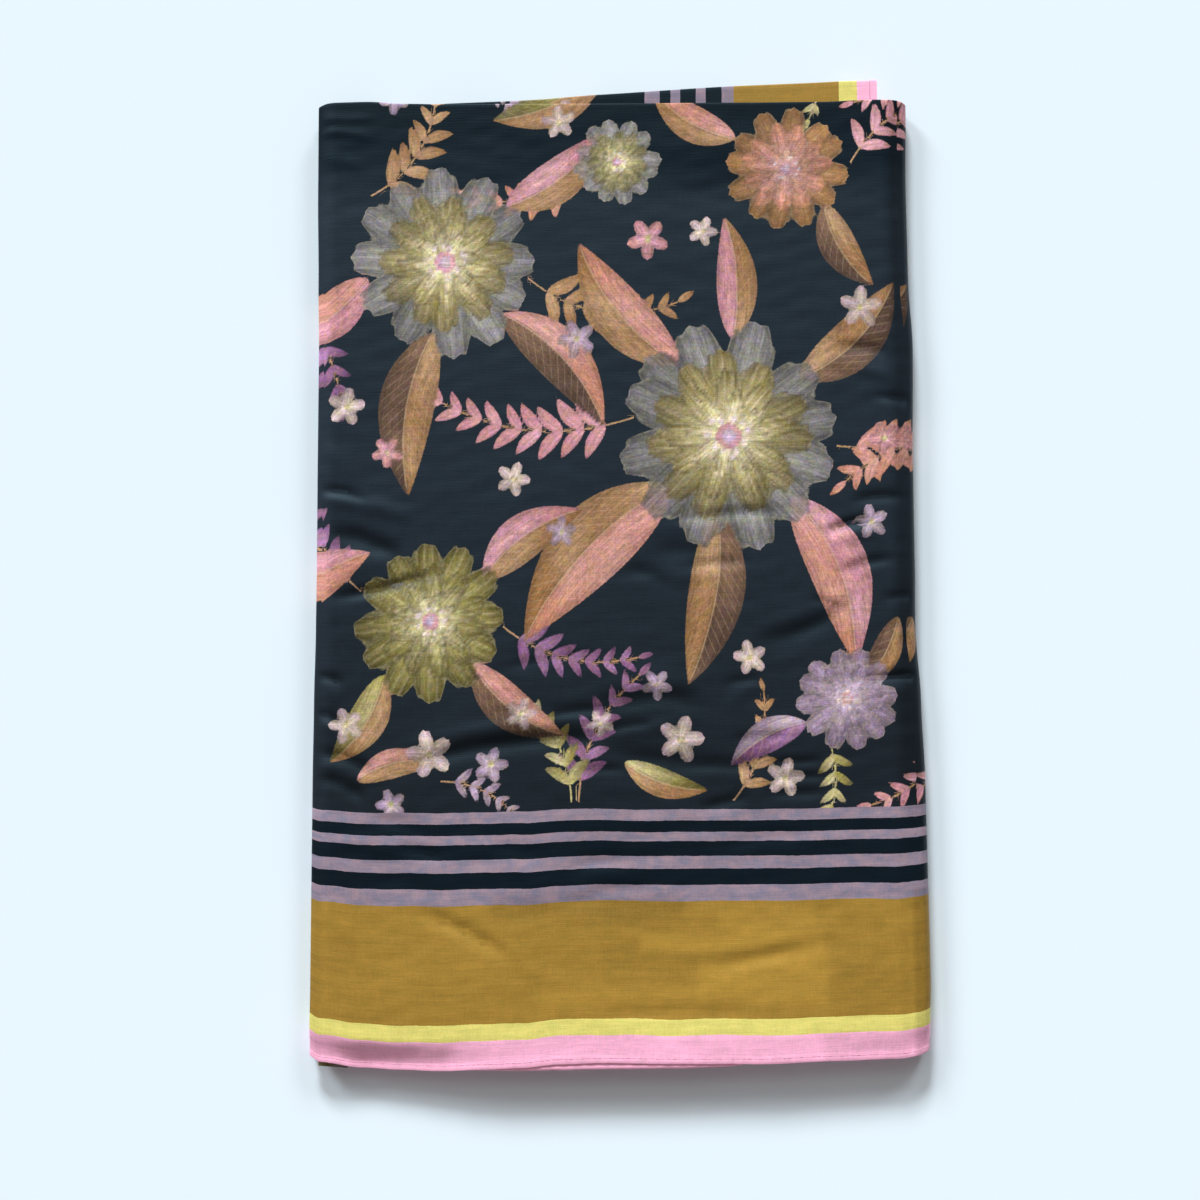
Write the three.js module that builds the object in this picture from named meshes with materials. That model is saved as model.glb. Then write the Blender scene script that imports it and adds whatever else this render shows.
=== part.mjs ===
// A light cotton sarong, folded into a flat packet and laid on a table.
// Millimetres, +Z up. The top fold is towards +Y, the two long hems towards -Y.
import * as THREE from "three";

// The cut: one rectangle, folded in half along its length and then into six panels.
const CUT = { length: 1842, width: 1004 };
const PANELS = 6;
const END_SHORT = 15; // each short end stops this far inside the right fold
const PANEL_WIDTH = (CUT.length + 2 * END_SHORT) / PANELS;
const PANEL_HEIGHT = CUT.width / 2;

// The packet as it lies.
const HALF = PANEL_WIDTH / 2;
const FOLD_Y = 245.5; // top fold of the shown panel
const HEM_Y = FOLD_Y - PANEL_HEIGHT; // long hem of the shown panel
const TOP = 16.5; // height of the shown panel over the table
const WALL = 1.2; // cloth wall
const SEAM = 0.3; // gap between neighbouring pieces
const HEM = { width: 4, thick: 1.5 };
const NOSE = { radius: 1.6, turn: 100 }; // where the cloth rolls over the top fold
const LEFT_ROLL = { radius: 3.4, turn: 110 }; // shown panel, folded over the third panel
const RIGHT_FOLD = { reach: 6, seam: 0.6 }; // outermost fold, from the top down to the table
const UNDER = { back: 2.5, from: 60, to: 150 }; // how far the underside's hem draws back
const LEFT_FOLD = { reach: 4.2, height: 10.4 }; // underside panel, folded up round three others

// How far the side folds stand out past the panel's half width, by place along Y.
const SIDES = [
  { y: 245, left: 2.2, right: 0.6 },
  { y: 200, left: 2.1, right: -0.2 },
  { y: 150, left: 1.6, right: 0.0 },
  { y: 115, left: 1.3, right: 1.4 },
  { y: 50, left: 1.0, right: 0.6 },
  { y: 0, left: 0.8, right: 0.3 },
  { y: -35, left: 1.0, right: -0.6 },
  { y: -75, left: 1.6, right: 1.0 },
  { y: -115, left: 1.9, right: 2.0 },
  { y: -160, left: 2.0, right: 2.4 },
  { y: -220, left: 2.1, right: 2.5 },
  { y: -255, left: 2.4, right: 2.2 },
];

// The top fold's waver and the sag of the two long hems, by place along X.
const LENGTHS = [
  { x: -158, fold: 0.0, hem: 5.0, under: 4.0 },
  { x: -151, fold: 1.2, hem: 2.8, under: 2.4 },
  { x: -131, fold: 1.6, hem: -0.3, under: 0.4 },
  { x: -110, fold: 0.4, hem: -1.4, under: -0.2 },
  { x: -90, fold: 0.0, hem: -2.0, under: -0.9 },
  { x: -70, fold: 0.0, hem: -1.1, under: -1.6 },
  { x: -50, fold: 0.0, hem: -0.3, under: -1.9 },
  { x: -30, fold: -0.1, hem: 1.4, under: -1.6 },
  { x: -10, fold: -0.1, hem: 2.0, under: -1.3 },
  { x: 30, fold: -0.1, hem: 1.3, under: -1.1 },
  { x: 52, fold: 0.0, hem: 1.2, under: -0.4 },
  { x: 72, fold: 0.0, hem: 1.0, under: 1.8 },
  { x: 110, fold: 0.2, hem: 2.3, under: 3.4 },
  { x: 140, fold: 1.2, hem: 3.2, under: 4.2 },
  { x: 158, fold: 0.8, hem: 5.0, under: 5.4 },
];

// Where the folded top edge of the cloth's end lies, behind and below the shown panel.
const END_EDGE = [
  { x: -150, y: 244.6 },
  { x: -98, y: 248.2 },
  { x: -41, y: 250.2 },
  { x: -9, y: 252.4 },
  { x: 55, y: 255.9 },
  { x: 119, y: 258.3 },
  { x: 141, y: 258.6 },
];
const END_PANEL = { low: 8.35, thick: 2.0, depth: 30, stop: HALF - END_SHORT };

// The largest creases of the shown panel: a middle, a heading in degrees from +X,
// half the length, half the width, and the height of the ridge (a trough is negative).
const CREASES = [
  { x: -128, y: 30, heading: 4, long: 34, wide: 6, high: 0.9 },
  { x: -122, y: 12, heading: 8, long: 30, wide: 5, high: -0.8 },
  { x: -118, y: -6, heading: 14, long: 34, wide: 6, high: 0.8 },
  { x: -118, y: -19, heading: 17, long: 30, wide: 5, high: -1.0 },
  { x: 132, y: 120, heading: -38, long: 30, wide: 6, high: 0.9 },
  { x: 138, y: 104, heading: -36, long: 26, wide: 5, high: -0.8 },
  { x: 134, y: 86, heading: -28, long: 26, wide: 6, high: 0.8 },
  { x: 45, y: 14, heading: 3, long: 45, wide: 6, high: 0.6 },
  { x: 50, y: -12, heading: 6, long: 42, wide: 6, high: -0.6 },
  { x: -20, y: -75, heading: 10, long: 60, wide: 7, high: 0.7 },
  { x: 0, y: -94, heading: 12, long: 50, wide: 6, high: -0.6 },
  { x: -138, y: -72, heading: -40, long: 26, wide: 5, high: 0.8 },
  { x: -128, y: -96, heading: -34, long: 28, wide: 5, high: -0.8 },
  { x: -70, y: -186, heading: -30, long: 40, wide: 6, high: -0.8 },
  { x: -62, y: -178, heading: -28, long: 36, wide: 5, high: 0.6 },
  { x: 78, y: -191, heading: 13, long: 36, wide: 6, high: -0.8 },
  { x: 58, y: -226, heading: 4, long: 26, wide: 5, high: 0.5 },
  { x: 60, y: -158, heading: 6, long: 24, wide: 5, high: 0.6 },
];

// The hidden layers from the table up: where each starts and ends, and how far its
// left, right, far and near edges stand inside the packet's outline.
const LAYERS = [
  { from: 1.85, to: 3.0, left: 3.2, right: 4.6, far: 2.2, near: 1.8, corner: 1.8 },
  { from: 3.0, to: 5.6, left: 3.6, right: 5.4, far: 1.2, near: 2.6, corner: -3.2 },
  { from: 5.6, to: 8.05, left: 3.4, right: 15.5, far: 3.0, near: 1.4, corner: 1.6 },
  { from: 8.05, to: 10.65, left: 5.0, right: 15.0, far: 33.0, near: 3.0, corner: 3.0 },
  { from: 10.65, to: 13.0, left: 2.2, right: 4.8, far: 1.0, near: 2.0, corner: 2.0 },
  { from: 13.0, to: 13.8, left: 4.6, right: 5.6, far: 2.0, near: 15.0, corner: 15.0 },
];
const GROOVE = 1.1; // depth of the crack between two layers
const CORNER = { radius: 3.5, from: -152, to: -136 }; // bevel; where a low corner shows
const MIDDLE_GAP = 6; // half the step between the outline's two halves

// How finely each stretch is divided.
const SPANS = {
  top: 32, rows: 28, roll: 4, right: 8, nose: 3, // shown panel
  flat: 8, left: 6, under: 14, // underside panel
  side: 7, end: 14, // hidden layers
  fold: 5, flap: 14, hem: 2, // end panel and its hem
};

const COLOURS = {
  ground: { color: 0x1c2b36, roughness: 0.85, metalness: 0 },
  layers: { color: 0x29353d, roughness: 0.9, metalness: 0 },
  pink: { color: 0xdf9fb8, roughness: 0.85, metalness: 0 },
  mustard: { color: 0x98773a, roughness: 0.85, metalness: 0 },
};

const radians = THREE.MathUtils.degToRad;

// Reads a column of a table at a place between two of its rows, eased from row to row.
function readTable(table, key, at, column) {
  const rising = table[0][key] < table[table.length - 1][key] ? table : [...table].reverse();
  const place = THREE.MathUtils.clamp(at, rising[0][key], rising[rising.length - 1][key]);
  const next = Math.max(1, rising.findIndex((row) => row[key] >= place));
  const [a, b] = [rising[next - 1], rising[next]];
  const t = (place - a[key]) / (b[key] - a[key]);
  return THREE.MathUtils.lerp(a[column], b[column], t * t * (3 - 2 * t));
}

const leftEdge = (y) => -HALF - readTable(SIDES, "y", y, "left");
const rightEdge = (y) => HALF + readTable(SIDES, "y", y, "right");
const foldEdge = (x) => FOLD_Y + readTable(LENGTHS, "x", x, "fold");
const nearEdge = (x) => HEM_Y + readTable(LENGTHS, "x", x, "hem");
const farHemEdge = (x) => HEM_Y + readTable(LENGTHS, "x", x, "under");
const underEdge = (x) => nearEdge(x) + UNDER.back * (1 - THREE.MathUtils.smoothstep(x, UNDER.from, UNDER.to));
const endEdge = (x) => readTable(END_EDGE, "x", x, "y");

// Height of the creases at a point of the shown panel, fading towards folds and hem.
function creaseHeight(x, y) {
  const toSide = Math.min(x - leftEdge(y), rightEdge(y) - x);
  const toEnd = Math.min(foldEdge(x) - y, y - nearEdge(x));
  const fade = THREE.MathUtils.smoothstep(toSide, 2, 16) * THREE.MathUtils.smoothstep(toEnd, -8, 26);
  let height = 0;
  for (const crease of CREASES) {
    const turn = radians(crease.heading);
    const [dx, dy] = [x - crease.x, y - crease.y];
    const along = (dx * Math.cos(turn) + dy * Math.sin(turn)) / crease.long;
    const across = (dy * Math.cos(turn) - dx * Math.sin(turn)) / crease.wide;
    height += crease.high * Math.exp(-(along ** 2) * 1.5 - across ** 2);
  }
  return height * fade;
}

// The shown panel's section at one y: up over the left roll, across the top, and round
// the right fold down to the table. depth is measured in from the cloth's outer face.
function shownSection(y, depth) {
  const [left, right] = [leftEdge(y), rightEdge(y)];
  const section = [];
  for (let i = 0; i < SPANS.roll; i++) {
    const turn = radians(LEFT_ROLL.turn * (1 - i / SPANS.roll));
    const radius = LEFT_ROLL.radius - depth;
    const x = left + LEFT_ROLL.radius - radius * Math.sin(turn);
    section.push({ x, z: TOP - LEFT_ROLL.radius + radius * Math.cos(turn) });
  }
  const [start, stop] = [left + LEFT_ROLL.radius, right - RIGHT_FOLD.reach];
  for (let i = 0; i < SPANS.top; i++) {
    const x = THREE.MathUtils.lerp(start, stop, i / SPANS.top);
    section.push({ x, z: TOP - depth + creaseHeight(x, y) });
  }
  for (let i = 0; i <= SPANS.right; i++) {
    const turn = (Math.PI * i) / SPANS.right;
    const x = stop + (RIGHT_FOLD.reach - depth) * Math.sin(turn);
    section.push({ x, z: TOP / 2 + (TOP / 2 - depth) * Math.cos(turn) });
  }
  return section;
}

// The underside panel's section: along the table from the right fold, then up round the
// left fold.
function underSection(y, depth) {
  const [left, right] = [leftEdge(y), rightEdge(y)];
  const [start, stop] = [right - RIGHT_FOLD.reach - RIGHT_FOLD.seam, left + LEFT_FOLD.reach];
  const section = [];
  for (let i = 0; i < SPANS.flat; i++)
    section.push({ x: THREE.MathUtils.lerp(start, stop, i / SPANS.flat), z: depth });
  for (let i = 0; i <= SPANS.left; i++) {
    const turn = (Math.PI * i) / SPANS.left;
    const x = stop - (LEFT_FOLD.reach - depth) * Math.sin(turn);
    section.push({ x, z: LEFT_FOLD.height / 2 - (LEFT_FOLD.height / 2 - depth) * Math.cos(turn) });
  }
  return section;
}

// Joins rings of points into one closed body. Each ring goes out along one side and back
// along the other, so point i faces point (last - i), and the two end rings are laddered.
function loft(rings) {
  const size = rings[0].length;
  const positions = rings.flat().flatMap((p) => [p.x, p.y, p.z]);
  const faces = [];
  for (let r = 0; r + 1 < rings.length; r++)
    for (let i = 0; i < size; i++) {
      const [a, b] = [r * size + i, r * size + ((i + 1) % size)];
      faces.push([a, b, b + size], [a, b + size, a + size]);
    }
  const last = (rings.length - 1) * size;
  for (let i = 0; i + 1 < size / 2; i++) {
    const [a, b, c, d] = [i, i + 1, size - 2 - i, size - 1 - i];
    faces.push([a, c, b], [a, d, c]);
    faces.push([last + a, last + b, last + c], [last + a, last + c, last + d]);
  }
  const corner = (i) => new THREE.Vector3().fromArray(positions, i * 3);
  let volume = 0;
  for (const [a, b, c] of faces) volume += corner(a).dot(corner(b).cross(corner(c))) / 6;
  if (volume < 0) faces.forEach((face) => face.reverse());
  const geometry = new THREE.BufferGeometry();
  geometry.setAttribute("position", new THREE.Float32BufferAttribute(positions, 3));
  geometry.setIndex(faces.flat());
  geometry.computeVertexNormals();
  return geometry;
}

// A wall of cloth: the section carried from the near hem to the top fold, where it
// rolls over the fold's nose.
function clothWall(sectionAt, hemEdge, rows) {
  const places = [];
  for (let i = 0; i < rows; i++) places.push({ v: i / rows, turn: 0 });
  for (let i = 0; i <= SPANS.nose; i++) places.push({ v: 1, turn: radians((NOSE.turn * i) / SPANS.nose) });
  const rowAt = ({ v, turn }, depth) => {
    const radius = NOSE.radius - depth;
    const below = NOSE.radius - radius * Math.cos(turn);
    return sectionAt(THREE.MathUtils.lerp(HEM_Y, FOLD_Y, v), below).map(({ x, z }) => {
      const start = hemEdge(x) + HEM.width + SEAM;
      const y = THREE.MathUtils.lerp(start, foldEdge(x) - NOSE.radius, v) + radius * Math.sin(turn);
      return new THREE.Vector3(x, y, z);
    });
  };
  const outer = places.map((place) => rowAt(place, 0));
  const inner = places.map((place) => rowAt(place, WALL)).reverse();
  return loft(outer[0].map((_, k) => [...outer, ...inner].map((row) => row[k])));
}

// A turned hem: a thicker strip with a round outer edge that follows a section.
function turnedHem(section, edge, { width, thick, lowered = 0 }) {
  const radius = thick / 2;
  const flats = [width, width / 2];
  const profile = flats.map((inward) => ({ inward, depth: 0 }));
  for (let i = 0; i <= 3; i++) {
    const turn = (Math.PI * i) / 3;
    profile.push({ inward: radius * (1 - Math.sin(turn)), depth: radius * (1 - Math.cos(turn)) });
  }
  for (const inward of flats.toReversed()) profile.push({ inward, depth: thick });
  const lines = profile.map(({ inward, depth }) =>
    section(depth + lowered).map(({ x, z }) => new THREE.Vector3(x, edge(x) + inward, z)),
  );
  return loft(lines[0].map((_, k) => lines.map((line) => line[k])));
}

// The flat stretch of the shown panel's section, where the second hem lies under the first.
const flatStretch = (depth) => shownSection(HEM_Y, depth).slice(SPANS.roll, SPANS.roll + SPANS.top);

// A folded double layer behind the top fold, from one x to another.
function endFlap(from, to, spans, { low, thick }) {
  const rings = [];
  for (let i = 0; i <= spans; i++) {
    const x = THREE.MathUtils.lerp(from, to, i / spans);
    const radius = thick / 2;
    const back = FOLD_Y - END_PANEL.depth;
    const ring = [new THREE.Vector3(x, back, low + thick)];
    for (let k = 0; k <= SPANS.fold; k++) {
      const turn = (Math.PI * k) / SPANS.fold;
      const y = endEdge(x) - radius + radius * Math.sin(turn);
      ring.push(new THREE.Vector3(x, y, low + radius + radius * Math.cos(turn)));
    }
    ring.push(new THREE.Vector3(x, back, low));
    rings.push(ring);
  }
  return loft(rings);
}

// Half of a layer's outline, from the middle of its left side to the middle of its right:
// round by the hems for side -1, round by the top fold for side 1.
function halfOutline(layer, inset, z, side) {
  const nearInset = (x) => {
    const past = THREE.MathUtils.smoothstep(x, CORNER.from, CORNER.to);
    return THREE.MathUtils.lerp(layer.corner, layer.near, past);
  };
  const endY = (x) => (side < 0 ? nearEdge(x) + nearInset(x) + inset : foldEdge(x) - layer.far - inset);
  const leftX = (y) => leftEdge(y) + layer.left + inset;
  const rightX = (y) => rightEdge(y) - layer.right - inset;
  const sideLine = (xAt) => {
    const cornerY = endY(xAt(side * HALF)) - side * CORNER.radius;
    return Array.from({ length: SPANS.side + 1 }, (_, i) => {
      const y = THREE.MathUtils.lerp(side * MIDDLE_GAP, cornerY, i / SPANS.side);
      return new THREE.Vector3(xAt(y), y, z);
    });
  };
  const [start, stop] = [leftX(side * HALF) + CORNER.radius, rightX(side * HALF) - CORNER.radius];
  const endLine = Array.from({ length: SPANS.end + 1 }, (_, i) => {
    const x = THREE.MathUtils.lerp(start, stop, i / SPANS.end);
    return new THREE.Vector3(x, endY(x), z);
  });
  return [...sideLine(leftX), ...endLine, ...sideLine(rightX).reverse()];
}

// The hidden layers as one solid, its edge drawn in between one layer and the next.
function foldedLayers() {
  const rings = [];
  for (const layer of LAYERS) {
    const round = [
      { at: 0.02, inset: GROOVE },
      { at: 0.25, inset: 0.15 },
      { at: 0.75, inset: 0.15 },
      { at: 0.98, inset: GROOVE },
    ];
    for (const { at, inset } of round) {
      const z = THREE.MathUtils.lerp(layer.from, layer.to, at);
      const near = halfOutline(layer, inset, z, -1);
      const far = halfOutline(layer, inset, z, 1);
      rings.push([...near, ...far.reverse()]);
    }
  }
  return loft(rings);
}

function piece(name, geometry, look) {
  const mesh = new THREE.Mesh(geometry, new THREE.MeshStandardMaterial(look));
  mesh.name = name;
  return mesh;
}

const endHemStart = END_PANEL.stop - HEM.width;
const endHem = { low: END_PANEL.low - 0.05, thick: END_PANEL.thick + 0.1 };
const farHem = { width: 11, thick: 1.4, lowered: HEM.thick + SEAM };
const shownHemLine = (depth) => shownSection(HEM_Y, depth);
const underHemLine = (depth) => underSection(HEM_Y, depth);

const sarong = new THREE.Group();
sarong.add(
  piece("shown_panel", clothWall(shownSection, nearEdge, SPANS.rows), COLOURS.ground),
  piece("underside_panel", clothWall(underSection, underEdge, SPANS.under), COLOURS.ground),
  piece("near_hem", turnedHem(shownHemLine, nearEdge, HEM), COLOURS.pink),
  piece("under_hem", turnedHem(underHemLine, underEdge, HEM), COLOURS.pink),
  piece("far_hem", turnedHem(flatStretch, farHemEdge, farHem), COLOURS.pink),
  piece("end_panel", endFlap(6 - HALF, endHemStart - SEAM, SPANS.flap, END_PANEL), COLOURS.mustard),
  piece("end_hem", endFlap(endHemStart, END_PANEL.stop, SPANS.hem, endHem), COLOURS.pink),
  piece("folded_layers", foldedLayers(), COLOURS.layers),
);

export default sarong;
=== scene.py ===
import math

import bpy
import numpy as np
from mathutils import Matrix


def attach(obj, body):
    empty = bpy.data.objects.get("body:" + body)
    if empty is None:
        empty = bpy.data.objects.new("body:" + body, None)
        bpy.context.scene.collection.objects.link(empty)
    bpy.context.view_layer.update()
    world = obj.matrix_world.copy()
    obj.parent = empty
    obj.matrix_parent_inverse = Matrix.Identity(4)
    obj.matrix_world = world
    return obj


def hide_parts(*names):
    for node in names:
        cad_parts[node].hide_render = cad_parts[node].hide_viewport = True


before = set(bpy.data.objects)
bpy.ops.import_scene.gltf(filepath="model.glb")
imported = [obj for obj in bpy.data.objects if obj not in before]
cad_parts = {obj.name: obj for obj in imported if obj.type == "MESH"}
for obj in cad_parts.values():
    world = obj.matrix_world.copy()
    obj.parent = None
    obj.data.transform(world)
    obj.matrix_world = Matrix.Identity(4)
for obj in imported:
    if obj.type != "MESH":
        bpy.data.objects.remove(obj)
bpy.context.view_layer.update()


# The photograph's view: a camera almost straight above the packet, leaning a little
# towards the hems, over a plain pale table under soft light from beyond the top fold.
MM = 0.001
CAMERA_SPOT = (-8.6, -114.9, 958.7)
CAMERA_LEAN = 5.76
CAMERA_ROLL = -0.33
CAMERA_LENS = 55
TABLE_HALF = 2500
TABLE_COLOUR = (0.791, 0.894, 0.962)

camera_data = bpy.data.cameras.new("photo_camera")
camera_data.lens = CAMERA_LENS
camera_data.sensor_width = 36
camera_data.clip_end = 20
camera = bpy.data.objects.new("photo_camera", camera_data)
camera.matrix_world = (
    Matrix.Translation([c * MM for c in CAMERA_SPOT])
    @ Matrix.Rotation(math.radians(CAMERA_LEAN), 4, "X")
    @ Matrix.Rotation(math.radians(CAMERA_ROLL), 4, "Z")
)
bpy.context.collection.objects.link(camera)
bpy.context.scene.camera = camera
bpy.context.scene.view_settings.view_transform = "Standard"


def node_maker(tree, prefix=""):
    """A function that adds a node to a tree, with its settings and its set or linked inputs."""

    def add(kind, inputs=None, **settings):
        node = tree.nodes.new(prefix + kind)
        for key, value in settings.items():
            setattr(node, key, value)
        for key, value in (inputs or {}).items():
            if isinstance(value, bpy.types.NodeSocket):
                tree.links.new(value, node.inputs[key])
            else:
                node.inputs[key].default_value = value
        return node

    return add


def node_material(name):
    """A new material, its Principled shader and the maker of its nodes."""
    material = bpy.data.materials.new(name)
    material.use_nodes = True
    tree = material.node_tree
    return material, tree.nodes["Principled BSDF"], node_maker(tree, "ShaderNode")


def table_of(columns, *rows):
    """A table: the names of its columns, and then its rows."""
    return [dict(zip(columns.split(), row)) for row in rows]


def by_name(rows):
    return {row["name"]: row for row in rows}


table_mesh = bpy.data.meshes.new("table")
reach = TABLE_HALF * MM
table_mesh.from_pydata(
    [(-reach, -reach, 0), (reach, -reach, 0), (reach, reach, 0), (-reach, reach, 0)], [], [(0, 1, 2, 3)]
)
table = bpy.data.objects.new("table", table_mesh)
bpy.context.collection.objects.link(table)
table_material, shader, add = node_material("table_white")
shader.inputs["Base Color"].default_value = (*TABLE_COLOUR, 1)
shader.inputs["Roughness"].default_value = 0.9
shader.inputs["Specular IOR Level"].default_value = 0.1
table_mesh.materials.append(table_material)

# Soft daylight from beyond the top fold, low and wide: where each part of it stands, as
# its turn to the right and its height in degrees, how wide it looks, and how strong it is.
DAYLIGHT = table_of(
    "name turn height wide strength",
    ("daylight_left", -40, 26, 16, 1.6),
    ("daylight_middle", -11, 26, 12, 2.84),
    ("daylight_right", 26, 26, 16, 0.92),
    ("daylight_high", -10, 52, 34, 0.4),
)
DAYLIGHT_COLOUR = (0.962, 1.0, 1.031)
STUDIO_FILL = {"colour": (1.0, 0.903, 0.823), "strength": 0.215}
for part in DAYLIGHT:
    data = bpy.data.lights.new(part["name"], "SUN")
    data.energy = part["strength"]
    data.angle = math.radians(part["wide"])
    data.color = DAYLIGHT_COLOUR
    light = bpy.data.objects.new(part["name"], data)
    light.matrix_world = (
        Matrix.Rotation(math.radians(-part["turn"]), 4, "Z")
        @ Matrix.Rotation(math.radians(part["height"] - 90), 4, "X")
    )
    bpy.context.collection.objects.link(light)
world = bpy.data.worlds.new("studio")
world.use_nodes = True
background = world.node_tree.nodes["Background"]
background.inputs["Color"].default_value = (*STUDIO_FILL["colour"], 1)
background.inputs["Strength"].default_value = STUDIO_FILL["strength"]
bpy.context.scene.world = world


# The shown panel: the top stretch of one long rectangle of light printed cotton. The cloth
# is folded in half along its length, with the fold at the top of the photograph, and then
# into six panels that lie on each other. All its stretches are laid by the same rules.
PANEL_WIDTH = 312.0
PANEL_HEIGHT = 502.0
END_SHORT = 15.0
HALF = PANEL_WIDTH / 2
FOLD_Y = 245.5
HEM_Y = FOLD_Y - PANEL_HEIGHT
TOP = 16.5
PITCH = TOP / 6
SPREAD = PITCH / 4
CUT = (6 * PANEL_WIDTH - 2 * END_SHORT, 2 * PANEL_HEIGHT)
CLOTH_THICK = 0.36
HEM_WIDTH = 4.0
LAP = 0.7

# Each panel along the cloth: its level in the stack, whether the face is up, and how far its
# top fold and the hems of its two sheets lie past the nominal lines, at its left and right.
PANELS = dict(enumerate(table_of(
    "level face fold hem wrong_hem",
    (2, -1, (-2.4, -1.4), (1.6, 2.0), (2.2, 1.4)),
    (1, 1, (-2.4, -0.4), (1.4, 2.2), (2.0, 1.2)),
    (4, -1, (-0.2, -0.4), (2.4, 3.0), (2.0, 1.6)),
    (5, 1, (0.0, 0.0), (0.0, 0.0), (0.0, 0.0)),
    (0, -1, (-1.6, 0.6), (3.2, 4.0), (2.6, 3.4)),
    (3, 1, (-1.6, 15.0), (3.0, 5.0), (2.6, 4.4)),
), 1))
# Each fold joins a panel to the next one. reach is how far its outermost sheet stands past
# the end of the flat cloth, and inset how far it lies inside the packet's side.
FOLDS = dict(enumerate(table_of(
    "side reach inset",
    (-1, 2.6, 3.6),
    (1, 4.6, 2.6),
    (-1, 3.4, 0.0),
    (1, 6.0, 0.0),
    (-1, 4.2, 0.3),
), 1))
# How far the side folds stand past the panel's half width, by place up the packet.
SIDES = {
    "y": (-255, -240, -220, -160, -115, -75, -35, 0, 50, 115, 150, 200, 245),
    "left": (1.2, 1.1, 0.9, 0.8, 0.7, 0.4, -0.2, -0.4, -0.3, -0.4, 0.2, 0.9, 1.0),
    "right": (1.9, 2.4, 3.1, 2.8, 2.6, 1.4, -0.7, -0.2, 0.0, 1.3, -0.3, -0.5, 0.4),
}
# The waver of the shown panel's top fold, and the sag of its two hems, across the packet.
SAGS = {
    "x": (-158, -151, -131, -110, -90, -70, -50, -30, -10, 30, 52, 72, 110, 140, 158),
    "fold": (0.0, 1.2, 1.6, 0.4, 0.0, 0.0, 0.0, -0.1, -0.1, -0.1, 0.0, 0.0, 0.2, 1.2, 0.8),
    "hem": (5.0, 2.8, -0.3, -1.4, -2.0, -1.1, -0.3, 1.4, 2.0, 1.3, 1.2, 1.0, 2.3, 3.2, 5.0),
    "wrong_hem": (4.0, 2.4, 0.4, -0.2, -0.9, -1.6, -1.9, -1.6, -1.3, -1.1, -0.4, 1.8, 3.4, 4.2, 5.4),
}
# The bow of the last panel's top fold, which leans out from behind the others.
END_BOW = {"x": (-158, -98, -41, -9, 55, 119, 141, 158), "y": (0, 0.5, -0.2, 0.6, 1.1, 0.4, -0.1, 0)}
SAG_FADE = 3


def eased(at, places, values):
    """A table read at some places, eased from one row to the next."""
    places, values = np.asarray(places, float), np.asarray(values, float)
    at = np.clip(at, places[0], places[-1])
    k = np.clip(np.searchsorted(places, at, side="right"), 1, len(places) - 1)
    t = (at - places[k - 1]) / (places[k] - places[k - 1])
    return values[k - 1] + (values[k] - values[k - 1]) * t * t * (3 - 2 * t)


def smooth(at, low, high):
    t = np.clip((at - low) / (high - low), 0, 1)
    return t * t * (3 - 2 * t)


def across_panel(pair, x):
    return pair[0] + (pair[1] - pair[0]) * (np.clip(x / PANEL_WIDTH + 0.5, 0, 1))


def side_edge(side, y):
    if side < 0:
        return -HALF - eased(y, SIDES["y"], SIDES["left"])
    return HALF + eased(y, SIDES["y"], SIDES["right"])


WAVER = {"slow": 23.0, "quick": 11.3, "share": 0.6}


def waver(x, seed, size):
    """A slow, uneven waver along an edge, the same for each seed."""
    slow = np.sin(x / WAVER["slow"] + 2.1 * seed)
    quick = np.sin(x / WAVER["quick"] + 4.7 * seed)
    return size * (slow + WAVER["share"] * quick) / (1 + WAVER["share"])


def fold_line(panel, x):
    line = FOLD_Y + across_panel(PANELS[panel]["fold"], x)
    if panel == 4:
        return line + eased(x, SAGS["x"], SAGS["fold"])
    if panel == 6:
        return line + eased(x, END_BOW["x"], END_BOW["y"])
    return line + waver(x, panel, 0.25)


def hem_line(panel, sheet, x):
    """Where the long hem of one sheet of a panel lies: sheet 1 is the face's, -1 the other's."""
    name = "hem" if sheet > 0 else "wrong_hem"
    if panel == 4:
        return HEM_Y + eased(x, SAGS["x"], SAGS[name])
    line = HEM_Y + eased(x, SAGS["x"], SAGS["hem"]) + across_panel(PANELS[panel][name], x)
    return line + waver(x, panel + 0.5 * sheet, 0.6)


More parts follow.
